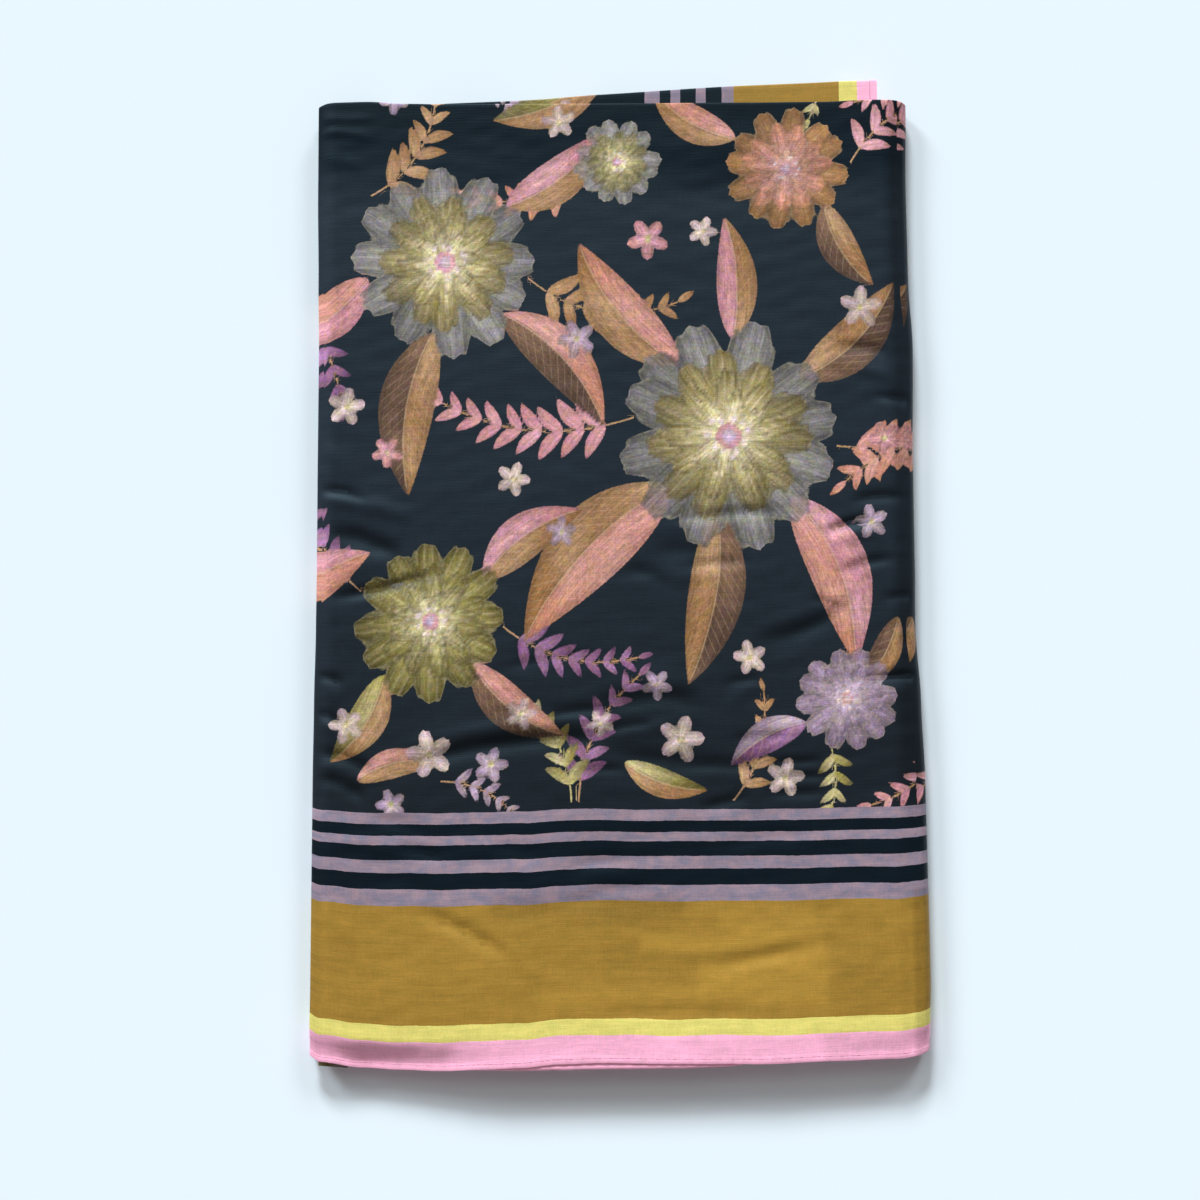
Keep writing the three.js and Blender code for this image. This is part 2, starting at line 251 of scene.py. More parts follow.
# The creases of the shown panel, by place: the two ends of each (x, y, x, y), half its
# width, its bow sideways and its height, where a trough is negative.
CREASES = {
    "left, above the middle": [
        (-155, 39, -130, 33, 3, 1, -0.69), (-156, 34, -108, 24, 4.5, 2, 0.56),
        (-146, 16, -111, 2, 5, 2, -0.92), (-148, -7, -102, 4, 5, 2, 0.31),
        (-144, -17, -96, -6, 3, -1.5, -0.98), (-155, 60, -138, 49, 5, 1, 0.22),
    ],
    "left, low": [
        (-155, -58, -142, -62, 2.5, 1, -0.57), (-155, -64, -142, -71, 4, 1, 0.28),
        (-155, -77, -141, -84, 2.5, 1, -0.57), (-154, -82, -140, -91, 4, 1, 0.31),
        (-153, -97, -126, -107, 3.5, 1, -0.8), (-154, -104, -136, -115, 4, 1, 0.31),
        (-151, -110, -131, -121, 4, 2, -0.86),
    ],
    "low middle": [
        (-61, -55, -13, -48, 3, 1, -0.4), (-105, -94, -8, -82, 5, 3, 0.56),
        (-107, -103, -7, -90, 4.5, 3, -0.92), (-36, -80, -6, -76, 3, 1, -0.57),
        (-21, -109, 3, -107, 2.5, 1, -0.52), (-6, -66, 41, -63, 6, 2, 0.31),
        (-7, -73, 40, -71, 6, 2, -0.86), (-6, -87, 17, -84, 3, 1, -0.57),
        (0, -98, 76, -106, 5, -2, -0.69), (34, -110, 74, -111, 3, 1, 0.22),
        (44, -126, 66, -121, 3, 0, -0.57), (-8, -92, 34, -84, 4, 1, 0.25),
    ],
    "right of the middle": [
        (34, 22, 89, 27, 3, 1, -0.63), (18, 17, 70, 19, 5, 1, 0.28), (19, 6, 47, 4, 5, 1, -0.4),
        (39, -2, 67, 0, 3, 1, -0.57), (6, -3, 28, -12, 4, 1, -0.52), (14, -9, 56, -8, 4, 1, 0.25),
        (120, -15, 82, -32, 5, 2, 0.28), (119, -23, 77, -42, 5, 2, -0.75),
        (55, -63, 76, -62, 3, 1, -0.46), (58, -73, 80, -59, 4, 1, 0.22),
        (61, -91, 88, -90, 2.5, 0, -0.46),
    ],
    "right edge": [
        (116, 114, 142, 110, 3.5, 1, -0.8), (113, 105, 145, 96, 4, 1, 0.4),
        (134, 87, 156, 84, 3, 0, -0.57), (127, 92, 146, 80, 4, 0, 0.22),
        (124, 32, 150, 33, 3, 1, -0.63), (110, 16, 132, 21, 2.6, 1, -0.92),
        (113, 11, 137, 14, 3, 1, 0.37), (117, -5, 143, 1, 3, 1, -0.69),
        (102, -20, 117, -26, 3, 1, -0.57), (139, -19, 158, -18, 2.6, 0, -0.57),
        (120, -68, 150, -66, 3, -1, 0.31), (126, -62, 159, -60, 2.4, 1, -0.86),
        (146, -41, 158, -46, 3, 0, -0.46), (80, -104, 104, -103, 2.5, 0, -0.57),
        (82, -111, 106, -111, 2.5, 0, -0.57), (80, -120, 106, -119, 3, 0, -0.57),
    ],
    "below the top fold": [
        (-158, 238, -126, 238, 2.5, 0, 0.28), (-158, 230, -130, 228, 2.5, 1, 0.28),
        (-157, 217, -134, 212, 4, 1, 0.25), (-20, 214, 92, 222, 9, 3, 0.25),
        (-120, 206, -50, 214, 9, -3, 0.22), (40, 196, 118, 204, 8, 2, -0.4),
    ],
    "on the stripes": [
        (-24, -157, 5, -154, 3.6, 1, -0.5), (-16, -170, 17, -168, 3.6, 1, -0.5),
        (-124, -132, -98, -139, 4, 1, -0.46), (-112, -146, -90, -152, 3.6, 1, -0.5),
        (-99, -180, -57, -201, 3.8, 1.5, -0.76), (-62, -194, -40, -213, 4.5, 1, 0.2),
        (40, -208, 104, -195, 4.2, -1, -0.6), (54, -199, 103, -189, 5, 1, 0.2),
        (-4, -230, 66, -228, 3.2, 0, -0.36), (71, -238, 91, -237, 3.4, 0, 0.12),
        (11, -133, 42, -129, 4, 1, 0.2), (52, -146, 93, -142, 4, 1, -0.34),
        (-142, -141, -118, -146, 5, 1, 0.22), (-66, -178, 30, -176, 6, 1, -0.26),
        (-152, -188, -132, -206, 7, 1, -0.3), (-34, -173, 10, -177, 3.4, 1, -0.3),
        (-66, -146, -40, -150, 4, 1, -0.3), (-122, -162, -96, -166, 4, 1, -0.26),
    ],
}
# Patches painted lighter or darker on the shown panel. Some are painted light and shade: lighter
# along the left side of the field, darker along both sides of the border and at the right of the
# pink band. The others are lighter and darker tone patches in the mustard band and on the field.
PATCHES = table_of(
    "x y soft light",
    ((50, 100), (-189, -176), 1.8, 0.08),
    ((11, 104), (-199, -190), 1.8, 0.2),
    ((40, 106), (-226, -201), 2.8, 0.16),
    ((-42, 42), (-228, -216), 4.0, 0.13),
    ((-66, 33), (-184, -172), 4.5, -0.2),
    ((-152, -134), (-206, -190), 6.0, -0.11),
    ((108, 148), (-230, -204), 5.0, -0.07),
    ((150, 170), (-262, -168), 1.8, -0.24),
    ((104, 146), (-264, -241), 5.0, -0.15),
    ((-170, -151), (-262, -168), 3.5, -0.12),
    ((-170, -149), (-128, 250), 3.0, 0.24),
    ((-62, 40), (-94, -68), 8.0, -0.2),
)
# Soft steps where the end of a hidden panel stops under the shown one.
STEPS = [{"x": 146.0, "wide": 5.0, "drop": 0.75, "low": -262, "high": 250, "ease": 12}]
# How far the packet's sides are pressed down, and how far its hem end is, across the packet;
# the shown panel's own hem hangs lower still on the right.
SIDE_PRESS = {"drop": 2.4, "within": 10.0}
HEM_PRESS = {
    "from": 15.5,
    "to": 3.0,
    "x": (-158, -148, -130, -112, -92, -75, -58, 0, 70, 130, 143, 150, 158),
    "drop": (3.2, 4.0, 6.2, 5.2, 3.8, 1.7, 0.6, 0.2, 0.2, 0.1, 0.3, 1.6, 2.8),
    "own": (0, 0, 0, 0, 0, 0, 0, 0, 0.2, 1.4, 1.2, 1.1, 0.8),
}
# How deep the creases are, how fast they die out in the sheets below, and where they fade
# towards the sides and the two ends. The field above the border is also painted darker in
# the troughs, as painted shade.
CREASE_DEPTH = 2.35
CREASE_SINK = 2.7
CREASE_FADE = {"side": (-1, 7), "end": (-6, 14)}
TROUGH_SHADE = {"share": 0.26, "deepest": 1.4, "y": (-136, -122)}
RIPPLES = {"count": 18, "height": 0.010, "seed": 11, "length": (9, 26), "swing": 0.45, "bend": (25, 60)}
# How far below the top the shown panel's painted light and shade and its tone patches reach, and
# the slow waver of the sheets.
PATCH_DEPTH = (7, 4)
REST_WAVE = {"height": 0.16, "across": 31, "up": 47, "from_table": 3, "from_top": 4}


def crease_height(x, y):
    to_side = np.minimum(x - side_edge(-1, y), side_edge(1, y) - x)
    to_end = np.minimum(fold_line(4, x) - y, y - hem_line(4, 1, x))
    height = np.zeros(np.shape(x))
    for x0, y0, x1, y1, wide, bow, high in sum(CREASES.values(), []):
        half = math.hypot(x1 - x0, y1 - y0) / 2
        turn = math.atan2(y1 - y0, x1 - x0)
        dx, dy = x - (x0 + x1) / 2, y - (y0 + y1) / 2
        along = (dx * math.cos(turn) + dy * math.sin(turn)) / half
        across = dy * math.cos(turn) - dx * math.sin(turn) - bow * (1 - along**2)
        height = height + high * np.exp(-(along**4) - (across / wide) ** 2)
    draw = np.random.default_rng(RIPPLES["seed"])
    for _ in range(RIPPLES["count"]):
        length = draw.uniform(*RIPPLES["length"])
        turn = draw.normal(math.pi / 2, RIPPLES["swing"])
        run = x * math.cos(turn) + y * math.sin(turn)
        wave = run * math.tau / length + draw.uniform(0, math.tau)
        bend = 1.3 * np.sin(x / draw.uniform(*RIPPLES["bend"]))
        height = height + RIPPLES["height"] * np.sin(wave + bend)
    for step in STEPS:
        within = smooth(y, step["low"], step["low"] + step["ease"])
        within = within * (1 - smooth(y, step["high"] - step["ease"], step["high"]))
        past = smooth(x, step["x"] - step["wide"], step["x"] + step["wide"])
        height = height - step["drop"] * past * within
    return height * smooth(to_side, *CREASE_FADE["side"]) * smooth(to_end, *CREASE_FADE["end"])


def between(at, ends, soft):
    """1 between two ends and 0 outside them, with soft edges."""
    low, high = ends
    return smooth(at, low - soft, low + soft) * (1 - smooth(at, high - soft, high + soft))


def painted_light_and_tone(places):
    """How much lighter or darker the shown panel is painted at some places: painted light and shade by its
    sides, its hem and its troughs, and tone patches.
    """
    x, y, z = places.T
    light = np.zeros(len(x))
    for patch in PATCHES:
        soft = patch["soft"]
        light += patch["light"] * between(x, patch["x"], soft) * between(y, patch["y"], soft)
    # Where creases and steps sink the field above the border, it is painted darker: painted shade.
    sunk = np.clip(-CREASE_DEPTH * crease_height(x, y), 0, TROUGH_SHADE["deepest"])
    shade = TROUGH_SHADE["share"] * sunk * smooth(y, *TROUGH_SHADE["y"])
    return (light - shade) * smooth(z, TOP - PATCH_DEPTH[0], TOP - PATCH_DEPTH[1])


def settle(x, y, z):
    """The cloth's own height: its edges are pressed down, and creases sink away below the top sheet."""
    share = np.exp((z - TOP) / CREASE_SINK)
    to_side = np.minimum(x - side_edge(-1, y), side_edge(1, y) - x)
    pressed = SIDE_PRESS["drop"] * (1 - smooth(to_side, 0, SIDE_PRESS["within"]))
    near_hem = 1 - smooth(y - hem_line(4, 1, x), HEM_PRESS["to"], HEM_PRESS["from"])
    pressed = pressed + eased(x, HEM_PRESS["x"], HEM_PRESS["drop"]) * near_hem
    pressed = pressed + eased(x, HEM_PRESS["x"], HEM_PRESS["own"]) * near_hem * share
    wave = REST_WAVE["height"] * np.sin(x / REST_WAVE["across"] + z) * np.sin(y / REST_WAVE["up"] + 1.7 * z)
    lift = wave * smooth(z, 0, REST_WAVE["from_table"]) * smooth(TOP - z, 0, REST_WAVE["from_top"])
    return z * (1 - pressed / TOP) + CREASE_DEPTH * crease_height(x, y) * share + lift


def rows_of(sheet, low, high, step, start=0):
    """Rows of one flat sheet, by distance from its hem: where they are, and how far round."""
    count = max(1, round(abs(high - low) / step))
    angle = 0.0 if sheet > 0 else math.pi
    return [(low + (high - low) * i / count, angle) for i in range(start, count + 1)]


def rows_round_nose(steps, start=0.0, stop=math.pi):
    return [(PANEL_HEIGHT, start + (stop - start) * i / steps) for i in range(1, steps + 1)]


def columns_flat(panel, start, stop, step):
    count = max(1, round(PANEL_WIDTH * abs(stop - start) / step))
    return [("flat", panel, start + (stop - start) * i / count) for i in range(count + 1)]


def columns_fold(fold, start, stop, steps):
    return [("fold", fold, start + (stop - start) * i / steps) for i in range(steps + 1)]


def run_start(panel):
    """How far along the cut a panel starts."""
    return max(0.0, (panel - 1) * PANEL_WIDTH - END_SHORT)


def run_length(panel):
    return PANEL_WIDTH - (END_SHORT if panel in (1, 6) else 0.0)


def flat_ends(panel, y):
    """Where a panel's flat cloth starts and stops, between its folds or the cloth's end."""
    ends = []
    for fold in (panel - 1, panel):
        if fold in FOLDS:
            f = FOLDS[fold]
            ends.append(side_edge(f["side"], y) - f["side"] * (f["inset"] + f["reach"]))
        else:
            ends.append(np.full(np.shape(y), HALF - END_SHORT))
    return ends


def lay_cloth(columns, rows):
    """Points of the folded cloth and their places on the flat cut, column by column.

    A column is a place along the cut, on a flat panel or round a fold. A row is a distance
    from the hem and an angle round the top fold, from 0 on the face's sheet to half a turn
    on the other."""
    up = np.array([r[0] for r in rows])
    angle = np.array([r[1] for r in rows])
    side = np.cos(angle)
    sheet = np.where(angle < math.pi / 2, 1, -1)
    nominal_y = HEM_Y + up
    points = np.zeros((len(columns), len(rows), 3))
    flat = np.zeros((len(columns), len(rows), 2))
    v = np.where(angle > 0, PANEL_HEIGHT + SPREAD * angle, up)
    flat[..., 1] = np.where(sheet > 0, v, CUT[1] - up)
    for c, (kind, index, at) in enumerate(columns):
        panel = index
        if kind == "flat":
            p = PANELS[panel]
            start, stop = flat_ends(panel, nominal_y)
            x = start + (stop - start) * at
            z = PITCH * (p["level"] + 0.5) + p["face"] * side * SPREAD
            u = run_start(panel) + run_length(panel) * at
        else:
            f, p, q = FOLDS[index], PANELS[index], PANELS[index + 1]
            rise = p["level"] - q["level"]
            outward = p["face"] * (1 if rise > 0 else -1)
            centre = PITCH * ((p["level"] + q["level"]) / 2 + 0.5)
            out = outward * side * SPREAD
            ball = math.pi * at
            inner = f["reach"] - SPREAD
            base = side_edge(f["side"], nominal_y) - f["side"] * (f["inset"] + f["reach"])
            x = base + f["side"] * (inner + out) * math.sin(ball)
            z = centre + (PITCH * rise / 2 + (1 if rise > 0 else -1) * out) * math.cos(ball)
            panel = index if at < 0.5 else index + 1
            u = run_start(index + 1) + abs(rise) * PITCH * (at - 0.5)
        flat[c, :, 0] = u
        sag = np.where(sheet > 0, hem_line(panel, 1, x), hem_line(panel, -1, x)) - HEM_Y
        lean = fold_line(panel, x) - FOLD_Y - SPREAD
        share = up / PANEL_HEIGHT
        if kind == "fold":
            other = index + 1 if panel == index else index
            blend = abs(at - 0.5) + 0.5
            other_sag = np.where(sheet > 0, hem_line(other, 1, x), hem_line(other, -1, x)) - HEM_Y
            sag = sag * blend + other_sag * (1 - blend)
            lean = lean * blend + (fold_line(other, x) - FOLD_Y - SPREAD) * (1 - blend)
        y = HEM_Y + up + sag * (1 - share) ** SAG_FADE + lean * share**2 + SPREAD * np.sin(angle)
        points[c, :, 0], points[c, :, 1], points[c, :, 2] = x, y, settle(x, y, z)
    return points, flat


def grid_normals(points):
    along = np.gradient(points, axis=0)
    up = np.gradient(points, axis=1)
    normal = np.cross(along, up)
    return normal / np.maximum(np.linalg.norm(normal, axis=2, keepdims=True), 1e-9)


def wall(points, flat, thick, skip=1):
    """A closed thin shell on a grid of points. The wrong side may be skip times coarser."""
    columns, rows = points.shape[:2]
    normal = grid_normals(points)
    face = points + normal * thick / 2
    back = (points - normal * thick / 2)[::skip, ::skip]
    across, up = back.shape[:2]
    number = np.arange(columns * rows).reshape(columns, rows)
    behind = columns * rows + np.arange(across * up).reshape(across, up)
    front_quads = np.stack([number[:-1, :-1], number[1:, :-1], number[1:, 1:], number[:-1, 1:]], -1)
    back_quads = np.stack([behind[:-1, :-1], behind[:-1, 1:], behind[1:, 1:], behind[1:, :-1]], -1)
    faces = front_quads.reshape(-1, 4).tolist() + back_quads.reshape(-1, 4).tolist()
    fine = [number[:, 0], number[-1, :], number[::-1, -1], number[0, ::-1]]
    coarse = [behind[:, 0], behind[-1, :], behind[::-1, -1], behind[0, ::-1]]
    for f, b in zip(fine, coarse):
        f, b = f.tolist(), b.tolist()
        for k in range(len(b) - 1):
            run = f[k * skip : (k + 1) * skip + 1]
            if skip == 1:
                faces.append([run[1], run[0], b[k], b[k + 1]])
                continue
            middle = skip // 2
            for i in range(skip):
                near = b[k] if i < middle else b[k + 1]
                if i == middle:
                    faces.append([run[i + 1], run[i], b[k], b[k + 1]])
                else:
                    faces.append([run[i + 1], run[i], near])
    corners = np.concatenate([face.reshape(-1, 3), back.reshape(-1, 3)])
    places = np.concatenate([flat.reshape(-1, 2), flat[::skip, ::skip].reshape(-1, 2)])
    return corners, places, faces


def cloth_object(name, parts, material):
    """One mesh object from one or more walls, with its flat places as UVs and the print on it."""
    corners, places, faces = [], [], []
    count = 0
    for part_corners, part_places, part_faces in parts:
        corners.append(part_corners)
        places.append(part_places)
        faces += [[i + count for i in face] for face in part_faces]
        count += len(part_corners)
    corners, places = np.concatenate(corners), np.concatenate(places)
    mesh = bpy.data.meshes.new(name)
    mesh.from_pydata((corners * MM).tolist(), [], faces)
    tri = np.array([f[:3] for f in faces])
    rest = np.array([[f[0], f[2], f[3]] for f in faces if len(f) == 4])
    a, b, c = (corners[np.concatenate([tri, rest])][:, k] for k in range(3))
    if np.einsum("ij,ij->i", a, np.cross(b, c)).sum() < 0:
        mesh.flip_normals()
    mesh.polygons.foreach_set("use_smooth", np.ones(len(faces), bool))
    layer = mesh.uv_layers.new(name="cloth")
    loops = np.zeros(len(mesh.loops), int)
    mesh.loops.foreach_get("vertex_index", loops)
    layer.data.foreach_set("uv", (places[loops] * MM).ravel())
    for key, kind, field, values in [*print_on(places), ("light_shade_and_tone", "FLOAT", "value", painted_light_and_tone(corners))]:
        attribute = mesh.attributes.new(key, kind, "POINT")
        attribute.data.foreach_set(field, values.astype(np.float32).ravel())
    mesh.materials.append(material)
    mesh.update()
    mesh.set_sharp_from_angle(angle=math.radians(55))
    piece = bpy.data.objects.new(name, mesh)
    bpy.context.collection.objects.link(piece)
    return piece


# The print on the field: rosettes of pointed petals, fern sprays, broad veined leaves and
# small stars, in olive, grey, lilac, salmon, tan, cream and purple on a near-black ground.
# It is scattered on the flat cut, lies turned half round in the next panel, and comes again
# on every second one.
TONES = by_name(table_of(
    "name root tip glow",
    ("olive", (0.4, 0.36, 0.09), (0.095, 0.078, 0.016), (0.9, 0.86, 0.54)),
    ("gold", (0.5, 0.43, 0.12), (0.15, 0.11, 0.02), (0.94, 0.89, 0.6)),
    ("grey", (0.3, 0.31, 0.24), (0.19, 0.185, 0.185), (0.7, 0.72, 0.68)),
    ("lilac", (0.42, 0.33, 0.42), (0.22, 0.165, 0.22), (0.7, 0.58, 0.68)),
    ("salmon", (0.62, 0.31, 0.27), (0.52, 0.23, 0.13), (0.76, 0.48, 0.42)),
    ("pink", (0.62, 0.3, 0.34), (0.46, 0.2, 0.21), (0.78, 0.5, 0.54)),
    ("tan", (0.4, 0.24, 0.12), (0.3, 0.15, 0.05), (0.6, 0.42, 0.24)),
    ("brown", (0.17, 0.1, 0.06), (0.085, 0.05, 0.035), (0.32, 0.2, 0.12)),
    ("purple", (0.27, 0.12, 0.25), (0.14, 0.055, 0.13), (0.46, 0.28, 0.46)),
    ("cream", (0.6, 0.5, 0.4), (0.52, 0.4, 0.42), (0.8, 0.72, 0.66)),
))
# The motifs, by kind: x and y from the middle of the shown panel, in millimetres, and turn
# in degrees.
BLOOMS = table_of(
    "x y size turn tone outer",
    (62, 66, 60, 12, "gold", "grey"), (-90, 160, 50, 31, "gold", "grey"),
    (-98, -30, 41, 4, "olive", "olive"), (96, 210, 33, 22, "salmon", "tan"),
    (122, -72, 27, 8, "lilac", "lilac"), (4, 214, 24, 40, "olive", "grey"),
)
LEAVES = table_of(
    "x y turn length width bow tone shade",
    (30, 40, 226, 112, 40, -9, "salmon", "tan"), (56, 26, 259, 92, 30, 7, "brown", "tan"),
    (96, 34, -70, 94, 32, 10, "pink", "salmon"), (100, 96, 44, 74, 27, -7, "tan", "brown"),
    (34, 104, 128, 84, 30, 7, "tan", "salmon"), (64, 118, 92, 66, 22, -5, "pink", "tan"),
    (-60, 132, -48, 82, 28, 8, "salmon", "brown"), (-98, 122, 262, 88, 30, -8, "tan", "brown"),
    (-132, 150, 214, 60, 24, 5, "pink", "salmon"), (-56, 190, 38, 66, 24, -6, "pink", "tan"),
    (-70, -8, 34, 64, 24, 6, "pink", "tan"), (-76, -52, -38, 62, 22, -6, "salmon", "brown"),
    (-122, -58, 238, 54, 20, 5, "tan", "olive"), (116, 190, -60, 52, 20, -5, "tan", "brown"),
    (68, 226, 148, 54, 20, 5, "tan", "salmon"), (-4, 264, 204, 66, 24, 6, "tan", "olive"),
    (-136, -112, 12, 44, 15, 5, "salmon", "tan"), (4, -104, -18, 46, 15, -4, "olive", "tan"),
    (152, -30, 236, 44, 15, 4, "tan", "brown"), (100, -84, 208, 46, 17, -4, "purple", "lilac"),
)
SPRAYS = table_of(
    "x y turn length pairs leaf bow tone",
    (-128, 196, 62, 70, 6, 19, -10, "tan"), (-44, 150, -8, 82, 7, 19, -12, "tan"),
    (-20, 204, 186, 62, 5, 16, 8, "salmon"), (10, 76, 172, 116, 9, 21, 14, "pink"),
    (122, 60, 18, 70, 6, 20, -8, "salmon"), (132, 214, 36, 60, 5, 16, 6, "pink"),
    (-58, -34, -12, 74, 7, 16, -9, "purple"), (-136, -14, 118, 62, 5, 17, 7, "purple"),
    (-20, -122, 62, 72, 6, 17, 8, "purple"), (-24, -122, 116, 56, 5, 15, -6, "olive"),
    (112, -96, -96, 40, 4, 13, 4, "olive"), (-90, -112, -28, 44, 5, 11, 5, "lilac"),
    (62, -122, 74, 58, 5, 14, -6, "tan"),
)
STARS = table_of(
    "x y size tone",
    (-20, 118, 10, "lilac"), (20, 172, 11, "pink"), (50, 176, 8, "cream"), (-28, 236, 9, "cream"),
    (134, 134, 11, "cream"), (138, 20, 9, "lilac"), (-144, 82, 10, "cream"), (-54, 44, 9, "cream"),
    (-28, 16, 8, "lilac"), (-142, -84, 9, "cream"), (-98, -98, 12, "cream"),
    (-66, -104, 9, "lilac"), (-50, -78, 8, "cream"), (34, -92, 12, "cream"), (22, -64, 8, "lilac"),
    (88, -112, 10, "cream"), (72, -50, 9, "cream"), (146, 64, 9, "pink"), (-122, 58, 8, "pink"),
    (-8, -84, 7, "cream"), (-118, -124, 8, "lilac"),
)
# How far a shape's edge and a whole motif reach, where the print starts, how far apart it
# comes again, what height it is turned round, and how much shows through a shape on top.
PRINT_MARGIN = 5.0
PRINT_REACH = 150
PRINT_ORIGIN = (run_start(4) + HALF, -HEM_Y)
PRINT_REPEAT = (2 * PANEL_WIDTH, 372.0)
PRINT_TURN_Y = 61.0
VEIL = 0.22


class Canvas:
    """The print on a set of places of the flat cut, painted shape over shape."""

    def __init__(self, places):
        self.x = places[:, 0] - PRINT_ORIGIN[0]
        self.y = places[:, 1] - PRINT_ORIGIN[1]
        count = len(places)
        self.cover = np.full(count, -20.0)
        self.rim = np.zeros(count)
        self.paint = np.zeros((count, 4))
        self.grain = np.zeros((count, 3))

    def near(self, x, y, reach):
        return np.flatnonzero((abs(self.x - x) < reach) & (abs(self.y - y) < reach))

    def local(self, spots, x, y, turn):
        dx, dy = self.x[spots] - x, self.y[spots] - y
        return dx * math.cos(turn) + dy * math.sin(turn), dy * math.cos(turn) - dx * math.sin(turn)

    def lay(self, spots, inside, colour, along, across, veins, accent, veil=VEIL):
        """Paint a shape: inside is the distance in from its outline, in millimetres."""
        over = (inside > 0) | ((inside > -PRINT_MARGIN) & (inside > self.cover[spots]))
        hit = spots[over]
        through = (self.cover[hit] > 0)[:, None] * veil
        self.paint[hit, :3] = np.clip(colour[over], 0.005, 1) * (1 - through) + self.paint[hit, :3] * through
        self.paint[hit, 3] = accent
        self.grain[hit] = np.stack([along[over], across[over], np.full(len(hit), veins)], 1)
        self.rim[hit] = inside[over]
        self.cover[spots] = np.maximum(self.cover[spots], inside)


def tone_mix(tone, t, glow):
    """A tone from its root to its tip, lightened by glow."""
    root, tip, light = (np.array(TONES[tone][k]) for k in ("root", "tip", "glow"))
    base = root + (tip - root) * np.clip(t, 0, 1)[:, None]
    return base + (light - base) * np.clip(glow, 0, 1)[:, None]


def blade(a, b, length, width, back, tip):
    """How far in a place is from the outline of a leaf or petal, and how far out from its rib.

    back and tip say how blunt its two ends are, from about 0.4, round, to 1, pointed."""
    t = np.clip(a / length, 0.002, 0.998)
    peak = back / (back + tip)
    most = peak**back * (1 - peak) ** tip
    half = width / 2 * t**back * (1 - t) ** tip / most
    slope = half * (back / t - tip / (1 - t)) / length
    beyond = np.maximum(np.maximum(-a, a - length), 0)
    inside = (half - abs(b)) / np.sqrt(1 + np.minimum(slope * slope, 9))
    return np.where(beyond > 0, -np.hypot(beyond, b), inside), abs(b) / np.maximum(half, 0.5)


def lay_petal(canvas, x, y, turn, start, length, width, tone, draw, glow, blunt, accent=0.8):
    """A petal from start to start + length along its own direction."""
    spots = canvas.near(x, y, start + length + PRINT_MARGIN)
    if not len(spots):
        return
    a, b = canvas.local(spots, x, y, turn)
    inside, out = blade(a - start, b, length, width, 0.62, blunt)
    t = (a - start) / length
    phase = draw.uniform(0, math.tau)
    inside = inside + 0.022 * length * np.sin(b * 19 / width + phase) * smooth(t, 0.4, 0.9)
    streak = 0.15 * np.sin(b * 26 / width + phase) + 0.10 * np.sin(b * 47 / width + 2 * phase)
    light = glow * (1.15 - t) + 0.25 * np.exp(-((out / 0.16) ** 2)) * (1 - t) + streak * (0.4 + glow)
    colour = tone_mix(tone, t, light) * (1.0 - 0.52 * smooth(out, 0.3, 1.0))[:, None]
    colour = colour * draw.uniform(0.74, 1.22)
    canvas.lay(spots, inside, colour, a, b, 0.0, accent)


def lay_leaf(canvas, x, y, turn, length, width, bow, tone, shade, draw, accent=0.55, veins=1.0):
    """A pointed leaf with one half in a second tone, bowed sideways along its length."""
    spots = canvas.near(x, y, length + width)
    if not len(spots):
        return
    a, b = canvas.local(spots, x, y, turn)
    t = a / length
    b = b - bow * 4 * t * (1 - t)
    inside, out = blade(a, b, length, width, 0.72, 0.95)
    phase = draw.uniform(0, math.tau)
    half = smooth(b, -0.6, 0.6)[:, None]
    cloud = 0.16 * np.sin(a / 11 + phase) + 0.10 * np.sin(b / 5 - a / 8 + 2 * phase)
    light = 0.22 * (1 - t) + cloud
    colour = tone_mix(tone, t, light + 0.05) * half + tone_mix(shade, t, light - 0.04) * (1 - half)
    rib = 0.2 * np.exp(-((b / (0.07 * width)) ** 2))
    colour = colour * (1 - 0.3 * smooth(out, 0.45, 1.0) - rib)[:, None]
    canvas.lay(spots, inside, colour, a, b, veins, accent, veil=0.08)


def lay_stem(canvas, x, y, turn, length, bow, width, tone):
    """A thin line, whose width the material draws: it reads how far a place is across it."""
    spots = canvas.near(x, y, length + abs(bow) + PRINT_MARGIN)
    if not len(spots):
        return
    a, b = canvas.local(spots, x, y, turn)
    t = a / length
    b = b - bow * 4 * t * (1 - t)
    beyond = np.maximum(np.maximum(-a, a - length), 0)
    inside = width / 2 - np.hypot(b, beyond)
    canvas.lay(spots, inside, tone_mix(tone, t, 0.3 + 0 * t), a, b, -width, 0.5, veil=0)


def lay_disc(canvas, x, y, size, tone, glow, draw):
    spots = canvas.near(x, y, size + PRINT_MARGIN)
    if not len(spots):
        return
    a, b = canvas.local(spots, x, y, 0)
    away = np.hypot(a, b)
    colour = tone_mix(tone, away / size, glow * (1 - 0.5 * away / size))
    canvas.lay(spots, size - away, colour * draw.uniform(0.9, 1.1), a, b, 0.0, 0.6, veil=0)


# The rings of petals in a rosette, from the outermost in: how many, where they start and
# how long and wide they are as shares of its size, how light, and how blunt.
RINGS = table_of(
    "count start length width glow blunt",
    (12, 0.16, 0.84, 0.42, 0.1, 0.42),
    (11, 0.12, 0.62, 0.32, 0.1, 0.46),
    (9, 0.08, 0.5, 0.25, 0.45, 0.52),
    (8, 0.03, 0.36, 0.16, 0.95, 0.6),
)


